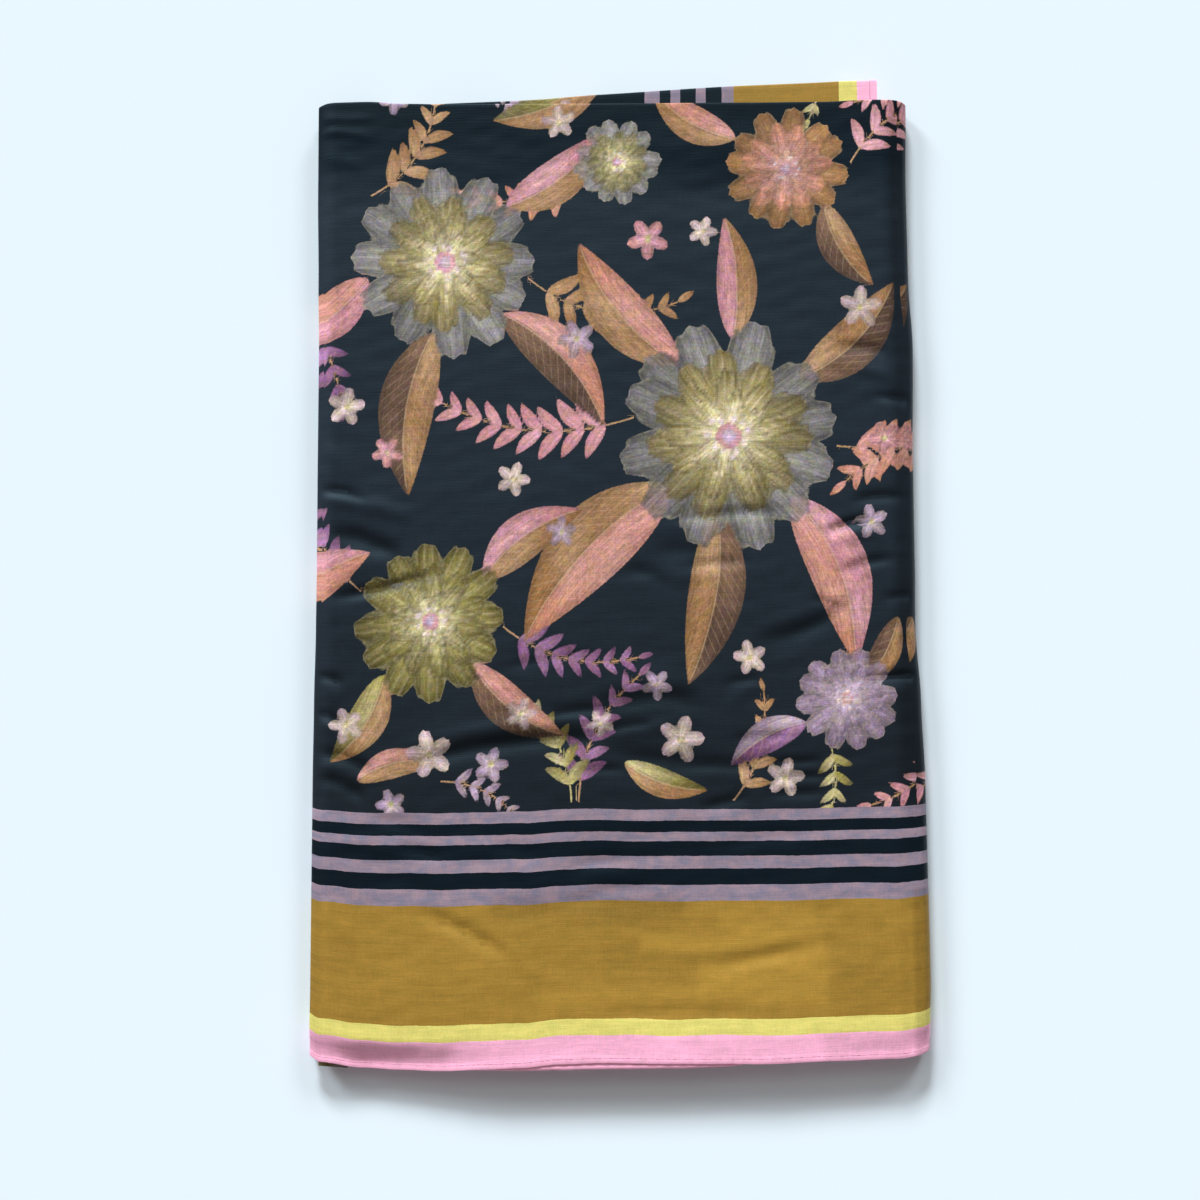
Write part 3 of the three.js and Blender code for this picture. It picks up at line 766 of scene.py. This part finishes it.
def lay_bloom(canvas, x, y, size, turn, tone, outer):
    """A rosette: rings of petals that grow paler inwards, round a pale heart with anthers."""
    draw = np.random.default_rng(int(abs(x) * 7 + abs(y) * 13))
    for k, ring in enumerate(RINGS):
        start = math.radians(turn) + 0.5 * k * math.tau / ring["count"]
        for i in draw.permutation(ring["count"]):
            heading = start + math.tau * i / ring["count"] + draw.normal(0, 0.05)
            grown = size * draw.uniform(0.93, 1.05)
            lay_petal(
                canvas, x, y, heading, ring["start"] * size, ring["length"] * grown, ring["width"] * size,
                tone if k else outer, draw, ring["glow"], ring["blunt"], accent=0.95 if k < 3 else 0.7,
            )
    for i in range(11):
        heading = math.radians(turn) + math.tau * i / 11 + draw.normal(0, 0.1)
        away = size * draw.uniform(0.15, 0.21)
        spot = (x + away * math.cos(heading), y + away * math.sin(heading))
        lay_disc(canvas, *spot, size * 0.026, "cream", 0.9, draw)
    lay_disc(canvas, x, y, size * 0.115, "pink", 0.8, draw)
    lay_disc(canvas, x, y, size * 0.06, "lilac", 1.0, draw)


def lay_spray(canvas, x, y, turn, length, pairs, leaf, bow, tone):
    """A bowed stem with pairs of narrow leaves that grow smaller towards its end."""
    draw = np.random.default_rng(int(abs(x) * 5 + abs(y) * 3))
    turn = math.radians(turn)
    lay_stem(canvas, x, y, turn, length, bow, 1.0, "olive" if tone == "olive" else "tan")
    for i in range(pairs + 1):
        t = 0.12 + 0.86 * i / max(pairs, 1)
        a, b = t * length, bow * 4 * t * (1 - t)
        slope = math.atan2(bow * 4 * (1 - 2 * t), length)
        root = (x + a * math.cos(turn) - b * math.sin(turn), y + a * math.sin(turn) + b * math.cos(turn))
        grown = leaf * (1.1 - 0.55 * t)
        for side in (-1, 1) if i < pairs else (0,):
            heading = turn + slope + side * (0.92 - 0.25 * t) + draw.normal(0, 0.07)
            size = grown * draw.uniform(0.9, 1.1)
            lay_leaf(
                canvas, *root, heading, size, size * 0.36, -side * size * 0.07, tone, tone, draw,
                accent=0.6, veins=0.5,
            )


def lay_star(canvas, x, y, size, tone):
    draw = np.random.default_rng(int(abs(x) * 11 + abs(y) * 17))
    start = draw.uniform(0, math.tau)
    for i in range(5):
        heading = start + math.tau * i / 5
        lay_petal(canvas, x, y, heading, 0.04 * size, size, size * 0.62, tone, draw, 0.35, 0.5, accent=0.7)
    lay_disc(canvas, x, y, size * 0.17, "gold", 0.5, draw)


def turned_once(item):
    """The same motif in the next panel, turned half round."""
    copy = dict(item, x=PANEL_WIDTH - item["x"], y=2 * PRINT_TURN_Y - item["y"])
    if "turn" in item:
        copy["turn"] = item["turn"] + 180
    return copy


def print_on(places):
    """The attributes that the cotton's material reads, for places on the flat cut."""
    canvas = Canvas(places)
    low = places.min(axis=0) - PRINT_ORIGIN - PRINT_REACH
    high = places.max(axis=0) - PRINT_ORIGIN + PRINT_REACH
    for table, lay in ((SPRAYS, lay_spray), (LEAVES, lay_leaf), (BLOOMS, lay_bloom), (STARS, lay_star)):
        for item in [*table, *map(turned_once, table)]:
            for across in (-2, -1, 0, 1):
                for up in (0, 1):
                    x, y = item["x"] + across * PRINT_REPEAT[0], item["y"] + up * PRINT_REPEAT[1]
                    if not (low[0] < x < high[0] and low[1] < y < high[1]):
                        continue
                    spot = dict(item, x=x, y=y)
                    if lay is lay_leaf:
                        spot["turn"] = math.radians(spot["turn"])
                        spot["draw"] = np.random.default_rng(int(abs(item["x"]) * 3 + item["length"]))
                    lay(canvas, **spot)
    return [
        ("cover", "FLOAT", "value", canvas.cover),
        ("rim", "FLOAT", "value", canvas.rim),
        ("paint", "FLOAT_COLOR", "color", canvas.paint),
        ("grain", "FLOAT_VECTOR", "vector", canvas.grain),
    ]


# The cotton's stripes, by distance in from the long edges and from the short ends, and the
# weave, slubs, sheen and soft edges of the printed colours.
LONG_STRIPES = [
    (0.0, "pink"), (14.2, "yellow"), (22.7, "mustard"), (82.0, "lilac"), (90.2, "bar"), (98.0, "lilac"),
    (104.3, "bar"), (112.0, "lilac"), (116.9, "bar"), (122.8, "lilac"), (128.8, "ground"),
]
END_STRIPES = [
    (0.0, "pink"), (10.3, "yellow"), (20.1, "mustard"), (77.4, "lilac"), (84.3, "bar"), (92.8, "lilac"),
    (98.2, "bar"), (106.6, "lilac"), (111.6, "bar"), (117.6, "lilac"), (125.7, "ground"),
]
DYES = {
    "pink": (0.985, 0.475, 0.655),
    "yellow": (0.74, 0.665, 0.175),
    "mustard": (0.345, 0.202, 0.031),
    "lilac": (0.268, 0.214, 0.258),
    "bar": (0.0025, 0.0055, 0.0095),
    "ground": (0.0110, 0.0150, 0.0215),
}
# The ground's colour by distance from the fold along the middle of the cut: its dark dye
# with a painted sheen, weakest next to the fold, where it is painted shade, and strongest
# from about 55 to 200 mm.
GROUND_PAINTED_SHEEN = [
    (0.0, (0.0005, 0.0020, 0.0060)), (30.0, (0.0015, 0.0045, 0.0100)), (55.0, (0.0125, 0.0185, 0.0275)),
    (200.0, (0.0130, 0.0185, 0.0272)), (360.0, (0.0098, 0.0128, 0.0180)),
]
STRIPE_SPAN = 150.0
# How far a printed stripe wavers, slowly and quickly, in metres, and the slope of the corner
# where the end stripes meet the long ones.
STRIPE_WAVER = {"slow": 0.0022, "quick": 0.0006}
CORNER_SLOPE = 1.07
THREADS = 0.62
# The cotton's clouds of tone, by name: how stretched they are along and across the cut, how
# fine, how detailed and how rough.
CLOUDS = by_name(table_of(
    "name stretch scale detail rough",
    ("slow", (1.0, 0.3, 1.0), 26.0, 1.0, 0.5),
    ("quick", (1.0, 0.5, 1.0), 210.0, 2.0, 0.5),
    ("bleach", (1.0, 1.5, 1.0), 130.0, 3.0, 0.6),
    ("brush", (0.07, 0.85, 1.0), 1.0, 3.0, 0.6),
    ("blot", None, 260.0, 4.0, 0.7),
    ("fringe", None, 620.0, 2.0, 0.6),
    ("blush", None, 210.0, 3.0, 0.6),
    ("warp", (1.0, 0.06, 1.0), 1000 / THREADS, 1.0, 0.5),
    ("weft", (0.05, 1.0, 1.0), 1000 / THREADS, 1.0, 0.5),
    ("slub", (0.045, 1.0, 1.0), 420.0, 2.0, 0.5),
    ("speck", None, 760.0, 2.0, 0.7),
    ("mottle", (0.6, 1.0, 1.0), 24.0, 4.0, 0.6),
    ("tint", (0.6, 1.0, 1.0), 640.0, 2.0, 0.7),
))
# Pairs of tints that a cloud mixes: the lilac and black stripes are worn most.
TINTS = {
    "plain cloth": ((0.95, 0.97, 0.96, 1), (1.07, 1.04, 1.07, 1)),
    "worn stripes": ((0.84, 0.94, 1.06, 1), (1.26, 1.12, 1.10, 1)),
    "motifs": ((1.03, 1.02, 0.84, 1), (1.06, 0.95, 1.12, 1)),
    "threads": ((0.92, 1.0, 1.09, 1), (1.08, 0.98, 0.94, 1)),
}
VEINS = {"spacing": 2.9, "slant": -1.25, "side": 0.45}
VEIN_COLOUR = (0.80, 0.60, 0.36, 1)
LIP_COLOUR = (0.80, 0.74, 0.52, 1)
LIP_LIGHT = (1.6, 1.5, 1.3, 1)
COTTON_FINISH = {
    "Roughness": 0.5, "Specular IOR Level": 0.18, "Specular Tint": (0.5, 0.85, 1.0, 1),
    "Sheen Weight": 0.02, "Sheen Roughness": 0.5,
}
WEAVE_RELIEF = {"Distance": 0.00012, "Strength": 0.5}


def printed_cotton():
    material, shader, add = node_material("printed_cotton")

    def maths(operation, *values, clamp=False):
        node = add("Math", dict(enumerate(values)), operation=operation, use_clamp=clamp)
        return node.outputs[0]

    def blend(fac, a, b, kind="MIX"):
        node = add("Mix", data_type="RGBA", blend_type=kind)
        for key, value in zip(("Factor", "A", "B"), (fac, a, b)):
            sockets = [s for s in node.inputs if s.name == key and s.enabled]
            if isinstance(value, bpy.types.NodeSocket):
                material.node_tree.links.new(value, sockets[0])
            else:
                sockets[0].default_value = value
        return [s for s in node.outputs if s.enabled][0]

    def ramp_between(value, low, high, out_low=0.0, out_high=1.0):
        node = add("MapRange", {0: value, 1: low, 2: high, 3: out_low, 4: out_high}, clamp=True)
        return node.outputs[0]

    uv = add("UVMap", uv_map="cloth").outputs[0]

    def cloud(name, vector=uv):
        look = CLOUDS[name]
        if look["stretch"]:
            vector = add("VectorMath", {0: vector, 1: look["stretch"]}, operation="MULTIPLY").outputs[0]
        inputs = {"Vector": vector, "Scale": look["scale"]}
        inputs.update({"Detail": look["detail"], "Roughness": look["rough"]})
        return add("TexNoise", inputs).outputs["Fac"]

    def tinted(share, colour, name):
        first, second = TINTS[name]
        return blend(share, blend(1.0, colour, first, "MULTIPLY"), blend(1.0, colour, second, "MULTIPLY"))

    def dye_ramp(value, span, rows, kind):
        """A colour ramp whose stops are rows of distances and dyes."""
        ramp = add("ValToRGB", {0: value})
        ramp.color_ramp.interpolation = kind
        elements = ramp.color_ramp.elements
        while len(elements) < len(rows):
            elements.new(0.5)
        for element, (away, _) in zip(elements, rows):
            element.position = away / span
        for element, (_, dye) in zip(elements, rows):
            element.color = (*dye, 1)
        return ramp.outputs[0]

    split = add("SeparateXYZ", {0: uv})
    u, v = split.outputs[0], split.outputs[1]
    from_long = maths("MINIMUM", v, maths("SUBTRACT", CUT[1] * MM, v))
    from_end = maths("MINIMUM", u, maths("SUBTRACT", CUT[0] * MM, u))

    unsteady = maths("MULTIPLY", cloud("quick"), STRIPE_WAVER["quick"])
    hand = maths("MULTIPLY_ADD", maths("SUBTRACT", cloud("slow"), 0.5), STRIPE_WAVER["slow"], unsteady)

    def stripes(distance, table):
        wavered = maths("DIVIDE", maths("ADD", distance, hand), STRIPE_SPAN * MM)
        return dye_ramp(wavered, STRIPE_SPAN, [(away, DYES[dye]) for away, dye in table], "CONSTANT")

    at_end = maths("LESS_THAN", maths("MULTIPLY", from_end, CORNER_SLOPE), from_long)
    in_end = maths("LESS_THAN", maths("ADD", from_end, hand), END_STRIPES[-1][0] * MM)
    in_long = maths("LESS_THAN", maths("ADD", from_long, hand), LONG_STRIPES[-1][0] * MM)
    border = maths("MAXIMUM", in_end, in_long)
    band = blend(at_end, stripes(from_long, LONG_STRIPES), stripes(from_end, END_STRIPES))
    from_fold = maths("ABSOLUTE", maths("SUBTRACT", v, CUT[1] * MM / 2))
    # The field's ground: its dark dye with the painted sheen and shade.
    fade_end = GROUND_PAINTED_SHEEN[-1][0]
    fade = dye_ramp(maths("DIVIDE", from_fold, fade_end * MM), fade_end, GROUND_PAINTED_SHEEN, "LINEAR")
    band = blend(border, fade, band)
    bleach = ramp_between(cloud("bleach"), 0.36, 0.64)
    worn = maths("GREATER_THAN", maths("MINIMUM", from_long, from_end), LONG_STRIPES[3][0] * MM)
    worn = maths("MULTIPLY", border, worn)
    band = blend(worn, tinted(bleach, band, "plain cloth"), tinted(bleach, band, "worn stripes"))

    cover = add("Attribute", attribute_name="cover").outputs["Fac"]
    rim = add("Attribute", attribute_name="rim").outputs["Fac"]
    paint_node = add("Attribute", attribute_name="paint")
    grain = add("Attribute", attribute_name="grain").outputs["Vector"]
    grain_split = add("SeparateXYZ", {0: grain})
    along, across, veins = grain_split.outputs
    paint, accent = paint_node.outputs["Color"], paint_node.outputs["Alpha"]

    def grey(value):
        return add("CombineColor", {0: value, 1: value, 2: value}).outputs[0]

    blot = cloud("blot")
    fringe = cloud("fringe")
    strokes = ramp_between(cloud("brush", grain), 0.3, 0.7, 0.70, 1.30)
    blots = ramp_between(blot, 0.3, 0.7, 0.78, 1.22)
    motif = blend(1.0, paint, grey(maths("MULTIPLY", strokes, blots)), "MULTIPLY")
    motif = tinted(ramp_between(cloud("blush"), 0.38, 0.62), motif, "motifs")

    rib_line = ramp_between(maths("ABSOLUTE", across), 0.15, 0.6, 1.0, 0.0)
    slant = maths("MULTIPLY_ADD", maths("ABSOLUTE", across), VEINS["slant"], along)
    side_line = ramp_between(maths("PINGPONG", slant, VEINS["spacing"]), 0.1, 0.7, 1.0, 0.0)
    vein = maths("MAXIMUM", rib_line, maths("MULTIPLY", side_line, VEINS["side"]))
    vein = maths("MULTIPLY", vein, veins, clamp=True)
    vein = maths("MULTIPLY", vein, ramp_between(rim, 0.8, 2.6, 0.0, 0.55))
    motif = blend(vein, motif, blend(0.5, motif, VEIN_COLOUR))

    lip = ramp_between(maths("MULTIPLY_ADD", fringe, 1.2, rim), 1.0, 2.2, 1.0, 0.0)
    lip = maths("MULTIPLY", lip, maths("MULTIPLY", maths("SUBTRACT", accent, 0.5), 1.1), clamp=True)
    lip = maths("MULTIPLY", lip, ramp_between(blot, 0.42, 0.60, 0.35, 0.95))
    lifted = blend(0.28, blend(1.0, motif, LIP_LIGHT, "MULTIPLY"), LIP_COLOUR)
    motif = blend(lip, motif, lifted)

    thin = maths("MULTIPLY", maths("LESS_THAN", veins, -0.3), maths("GREATER_THAN", cover, -1.6))
    line = maths("MULTIPLY_ADD", veins, -0.5, maths("MULTIPLY", maths("ABSOLUTE", across), -1.0))
    shape = add("Mix", {0: thin, 2: cover, 3: line}, data_type="FLOAT").outputs[0]
    edge = maths("MULTIPLY_ADD", maths("SUBTRACT", fringe, 0.5), 0.9, shape)
    inside = ramp_between(edge, -0.22, 0.26)
    inside = maths("MULTIPLY", inside, maths("SUBTRACT", 1.0, border))
    colour = blend(inside, band, motif)

    slub = cloud("slub")
    weave = maths("ADD", cloud("warp"), cloud("weft"))
    woven = ramp_between(weave, 0.7, 1.3, -0.06, 0.06)
    light = maths("ADD", woven, ramp_between(slub, 0.3, 0.7, -0.06, 0.06))
    coarse = maths("MULTIPLY_ADD", inside, 0.12, 0.06)
    grit = maths("MULTIPLY", ramp_between(cloud("speck"), 0.3, 0.7, -1.0, 1.0), coarse)
    light = maths("ADD", light, grit)
    light = maths("ADD", light, ramp_between(cloud("mottle"), 0.3, 0.7, 0.92, 1.08))
    # The shown panel's painted light and shade and its tone patches, read from the cloth.
    light = maths("ADD", light, add("Attribute", attribute_name="light_shade_and_tone").outputs["Fac"])
    shaded = blend(1.0, colour, grey(light), "MULTIPLY")
    threads = tinted(ramp_between(cloud("tint"), 0.36, 0.64), shaded, "threads")
    shader_colour = blend(maths("MULTIPLY_ADD", inside, 0.75, 0.25), shaded, threads)
    material.node_tree.links.new(shader_colour, shader.inputs["Base Color"])

    for socket, value in COTTON_FINISH.items():
        shader.inputs[socket].default_value = value
    relief = maths("ADD", weave, maths("MULTIPLY", slub, 0.8))
    bump = add("Bump", {"Height": relief, **WEAVE_RELIEF})
    material.node_tree.links.new(bump.outputs[0], shader.inputs["Normal"])
    return material


cotton = printed_cotton()


def multiple(items, step):
    """The list without its last items, so that its steps divide by step."""
    return items[: (len(items) - 1) // step * step + 1]


FINE, COARSE = 1.44, 1.9
ROLL = {"from": 0.14, "to": 0.94}
shown_columns = multiple(
    columns_fold(3, ROLL["from"], 1, 14)[:-1]
    + columns_flat(4, 0, 1, FINE)
    + columns_fold(4, 0, ROLL["to"], 22)[1:],
    3,
)
shown_rows = multiple(
    rows_of(1, HEM_WIDTH - LAP, LONG_STRIPES[-1][0] - 1, COARSE)
    + rows_of(1, LONG_STRIPES[-1][0] - 1, PANEL_HEIGHT, FINE, start=1)
    + rows_round_nose(10),
    3,
)
shown_panel = cloth_object(
    "shown_panel_cloth", [wall(*lay_cloth(shown_columns, shown_rows), CLOTH_THICK, skip=3)], cotton
)
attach(shown_panel, "root")
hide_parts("shown_panel")


# The underside panel: the stretch that the packet lies on, which comes from under the
# right fold and rolls up round the left one.
under_columns = columns_fold(4, ROLL["to"] + 0.02, 1, 2)[:-1] + columns_flat(5, 0, 1, 4.0)
under_columns += columns_fold(5, 0, 0.86, 14)[1:]
under_rows = rows_of(1, HEM_WIDTH - LAP, PANEL_HEIGHT, 4.0) + rows_round_nose(8)
under_wall = wall(*lay_cloth(under_columns, under_rows), CLOTH_THICK)
underside = cloth_object("underside_cloth", [under_wall], cotton)
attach(underside, "root")
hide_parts("underside_panel")


# The turned hems: 4 mm of each edge is turned twice to the wrong side and stitched down, so
# it is thicker than the cloth beside it, rounds over at its edge and puckers a little.
HEM_THICK = 0.95
PUCKER = {"length": 7.3, "height": 0.09}
# The hem's section, by distance in from its edge: how far its face stands up, how thick it
# is as a share, and how much of the pucker it takes.
HEM_SECTION = {
    "in": (0.0, 0.5, 1.4, 2.6, 3.4, 4.2, 5.0),
    "swell": (0.05, 0.22, 0.27, 0.23, 0.215, 0.20, 0.05),
    "depth": (0.30, 0.85, 1.0, 0.92, 0.90, 0.60, 0.25),
    "ease": (1.0, 1.0, 0.8, 0.4, 0.1, 0.0, 0.0),
}


def hem_tube(columns, sheet):
    """A hem as a closed flat tube along some columns of the cloth."""
    angle = 0.0 if sheet > 0 else math.pi
    points, flat = lay_cloth(columns, [(s, angle) for s in HEM_SECTION["in"]])
    normal = grid_normals(points) * sheet
    run = np.concatenate([[0], np.cumsum(np.linalg.norm(np.diff(points[:, 2], axis=0), axis=1))])
    pucker = PUCKER["height"] * np.sin(run * math.tau / PUCKER["length"] + 1.3 * np.sin(run / 19))
    swell, depth, ease = (np.array(HEM_SECTION[row]) for row in ("swell", "depth", "ease"))
    depth = depth * (HEM_THICK - CLOTH_THICK / 2)
    face = points + normal * (swell + pucker[:, None] * ease)[:, :, None]
    back = points - normal * depth[None, :, None]
    ring = np.concatenate([face, back[:, ::-1]], axis=1)
    places = np.concatenate([flat, flat[:, ::-1]], axis=1)
    count, size = ring.shape[:2]
    number = np.arange(count * size).reshape(count, size)
    after = np.roll(number, -1, axis=1)
    quads = np.stack([number[:-1], number[1:], after[1:], after[:-1]], -1).reshape(-1, 4).tolist()
    for end, order in ((0, 1), (count - 1, -1)):
        for i in range(size // 2 - 1):
            cap = [number[end, i], number[end, i + 1], number[end, size - 2 - i], number[end, size - 1 - i]]
            quads.append([int(k) for k in cap[::order]])
    return ring.reshape(-1, 3), places.reshape(-1, 2), quads


near_columns = columns_fold(3, 0.3, 1, 10)[:-1] + columns_flat(4, 0, 1, 1.6)
near_columns += columns_fold(4, 0, ROLL["to"], 18)[1:]
near_hem = cloth_object("near_hem_cloth", [hem_tube(near_columns, 1)], cotton)
far_hem = cloth_object("far_hem_cloth", [hem_tube(columns_flat(4, 0.02, 0.985, 1.8), -1)], cotton)
low_columns = columns_fold(4, ROLL["to"] + 0.02, 1, 2)[:-1] + columns_flat(5, 0, 1, 2.5)
low_columns += columns_fold(5, 0, 0.86, 12)[1:]
under_hem = cloth_object("under_hem_cloth", [hem_tube(low_columns, 1)], cotton)
for hem, node in ((near_hem, "near_hem"), (far_hem, "far_hem"), (under_hem, "under_hem")):
    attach(hem, "root")
    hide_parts(node)


# The hem's stitches: single straight stitches in pink thread, 2.7 mm in from the edge.
STITCH_LINE = 2.7
STITCH = {"pitch": 2.9, "length": 2.2, "radius": 0.13, "lift": 0.06}
THREAD_COLOUR = (0.86, 0.40, 0.54)


def stitch_tree(thread):
    tree = bpy.data.node_groups.new("hem_stitches", "GeometryNodeTree")
    for name, kind, way in (
        ("Seam", "NodeSocketGeometry", "INPUT"),
        ("Pitch", "NodeSocketFloat", "INPUT"),
        ("Stitch length", "NodeSocketFloat", "INPUT"),
        ("Thread radius", "NodeSocketFloat", "INPUT"),
        ("Stitches", "NodeSocketGeometry", "OUTPUT"),
    ):
        tree.interface.new_socket(name=name, in_out=way, socket_type=kind)
    add = node_maker(tree)
    sizes = tree.nodes.new("NodeGroupInput").outputs
    path = add("GeometryNodeMeshToCurve", {"Mesh": sizes["Seam"]})
    spaced = add("GeometryNodeResampleCurve", {"Curve": path.outputs[0]}, mode="LENGTH")
    tree.links.new(sizes["Pitch"], spaced.inputs["Length"])
    tangent = add("GeometryNodeInputTangent")
    aim = add("FunctionNodeAlignRotationToVector", {"Vector": tangent.outputs[0]}, axis="Z")
    thread_piece = add(
        "GeometryNodeMeshCylinder",
        {"Vertices": 6, "Radius": sizes["Thread radius"], "Depth": sizes["Stitch length"]},
    )
    placed = add(
        "GeometryNodeInstanceOnPoints",
        {"Points": spaced.outputs[0], "Instance": thread_piece.outputs[0], "Rotation": aim.outputs[0]},
    )
    real = add("GeometryNodeRealizeInstances", {0: placed.outputs[0]})
    dressed = add("GeometryNodeSetMaterial", {"Geometry": real.outputs[0], "Material": thread})
    tree.links.new(dressed.outputs[0], tree.nodes.new("NodeGroupOutput").inputs[0])
    return tree


def stitch_row(name, columns, thread, tree):
    """The stitches along one hem, as a plain mesh."""
    points, _ = lay_cloth(columns, [(STITCH_LINE - 0.3, 0.0), (STITCH_LINE, 0.0), (STITCH_LINE + 0.3, 0.0)])
    lifted = points + grid_normals(points) * (CLOTH_THICK / 2 + STITCH["lift"])
    seam = bpy.data.meshes.new(name + "_seam")
    seam.from_pydata((lifted[:, 1] * MM).tolist(), [(i, i + 1) for i in range(len(columns) - 1)], [])
    carrier = bpy.data.objects.new(name + "_seam", seam)
    bpy.context.collection.objects.link(carrier)
    modifier = carrier.modifiers.new("stitches", "NODES")
    modifier.node_group = tree
    sockets = (("Pitch", "pitch"), ("Stitch length", "length"), ("Thread radius", "radius"))
    values = {socket: STITCH[size] for socket, size in sockets}
    for socket in tree.interface.items_tree:
        if socket.name in values:
            modifier[socket.identifier] = values[socket.name] * MM
    graph = bpy.context.evaluated_depsgraph_get()
    made = bpy.data.meshes.new_from_object(carrier.evaluated_get(graph))
    made.name = name
    bpy.data.objects.remove(carrier)
    piece = bpy.data.objects.new(name, made)
    bpy.context.collection.objects.link(piece)
    return piece


thread, shader, add = node_material("hem_thread")
twist = add("TexNoise", {"Vector": add("TexCoord").outputs["Object"], "Scale": 1800.0})
tone = add("ValToRGB", {0: twist.outputs["Fac"]})
tone.color_ramp.elements[0].color = (*[c * 0.72 for c in THREAD_COLOUR], 1)
tone.color_ramp.elements[1].color = (*THREAD_COLOUR, 1)
thread.node_tree.links.new(tone.outputs[0], shader.inputs["Base Color"])
shader.inputs["Roughness"].default_value = 0.6
shader.inputs["Sheen Weight"].default_value = 0.3
stitches = stitch_tree(thread)
near_stitches = stitch_row("near_hem_stitches", near_columns, thread, stitches)
under_stitches = stitch_row("under_hem_stitches", low_columns, thread, stitches)
for row in (near_stitches, under_stitches):
    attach(row, "root")


# The end panel: the folded top edge of the last panel, which slants out from behind the
# shown one, with the stripes of the cloth's short end and that end's own turned hem.
END_BACK = 30.0
END_HEM_SHARE = 1 - HEM_WIDTH / (PANEL_WIDTH - 12)
end_rows = rows_of(1, PANEL_HEIGHT - END_BACK, PANEL_HEIGHT, 2.0) + rows_round_nose(10)
end_rows += rows_of(-1, PANEL_HEIGHT, PANEL_HEIGHT - END_BACK, 2.0, start=1)
end_columns = columns_flat(6, 0.01, END_HEM_SHARE, 1.8)
end_panel = cloth_object("end_panel_cloth", [wall(*lay_cloth(end_columns, end_rows), CLOTH_THICK)], cotton)
hem_columns = columns_flat(6, END_HEM_SHARE + 0.001, 1.0, 0.8)
end_hem = cloth_object("end_hem_cloth", [wall(*lay_cloth(hem_columns, end_rows), HEM_THICK)], cotton)
for piece, slot in ((end_panel, "border_cotton"), (end_hem, "hem_cotton")):
    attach(piece, "root")
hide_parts("end_panel")
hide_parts("end_hem")


# The hidden layers: every other stretch of the same cloth, each folded round the one
# before it, which shows only as folds and hems at the packet's edges.
ACROSS, UPWARD = 6.0, 7.0


def double_rows():
    rows = rows_of(1, HEM_WIDTH - LAP, PANEL_HEIGHT, UPWARD) + rows_round_nose(6)
    return rows + rows_of(-1, PANEL_HEIGHT, HEM_WIDTH - LAP, UPWARD, start=1)


def wrong_rows():
    return rows_of(-1, PANEL_HEIGHT - 0.5, HEM_WIDTH - LAP, UPWARD)


inner_run = columns_flat(1, 0.0, 1, ACROSS) + columns_fold(1, 0, 1, 8)[1:-1]
inner_run += columns_flat(2, 0, 1, ACROSS) + columns_fold(2, 0, 1, 12)[1:-1]
inner_run += columns_flat(3, 0, 1, ACROSS)
under_run = columns_flat(5, 0, 1, ACROSS) + columns_fold(5, 0, 1, 10)[1:-1]
shown_wrong = columns_fold(3, 0, 1, 10)[:-1] + columns_flat(4, 0, 1, ACROSS)
shown_wrong += columns_fold(4, 0, 1, 14)[1:-1] + under_run
last_low = columns_flat(6, 0.0, 1.0, ACROSS)
last_face = rows_of(1, HEM_WIDTH - LAP, PANEL_HEIGHT - END_BACK, UPWARD)
last_wrong = rows_of(-1, PANEL_HEIGHT - END_BACK, HEM_WIDTH - LAP, UPWARD)
CORNER = {
    "x": (-152.8, -138.0), "low": (-255.6, -256.9), "bow": 0.8, "back": 7.0, "z": 9.6,
    "droop": 0.5, "thick": 1.2, "print_at": (-66, 176), "print_size": (6, 5),
}


def turned_corner():
    """A small piece of a hidden layer at the lower left, turned back below the hems, showing a dark part of
    the print.
    """
    s, t = np.meshgrid(np.linspace(0, 1, 9), np.linspace(0, 1, 5), indexing="ij")
    (left, right), (start, stop) = CORNER["x"], CORNER["low"]
    x = left + (right - left) * s
    y = start + (stop - start) * s ** CORNER["bow"] + CORNER["back"] * t
    z = CORNER["z"] - CORNER["droop"] * (1 - t) ** 2
    (from_u, from_v), (wide, high) = CORNER["print_at"], CORNER["print_size"]
    flat = np.stack([PRINT_ORIGIN[0] + from_u + wide * s, PRINT_ORIGIN[1] + from_v + high * t], 2)
    return np.stack([x, y, z], 2), flat


hidden = [
    wall(*turned_corner(), CORNER["thick"]),
    wall(*lay_cloth(inner_run, double_rows()), CLOTH_THICK),
    wall(*lay_cloth(shown_wrong, wrong_rows()), CLOTH_THICK),
    wall(*lay_cloth(last_low, last_face), CLOTH_THICK),
    wall(*lay_cloth(last_low, last_wrong), CLOTH_THICK),
    hem_tube(inner_run, 1),
    hem_tube(inner_run, -1),
    hem_tube(under_run + last_low, -1),
    hem_tube(last_low, 1),
]
layers = cloth_object("folded_layers_cloth", hidden, cotton)
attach(layers, "root")
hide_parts("folded_layers")
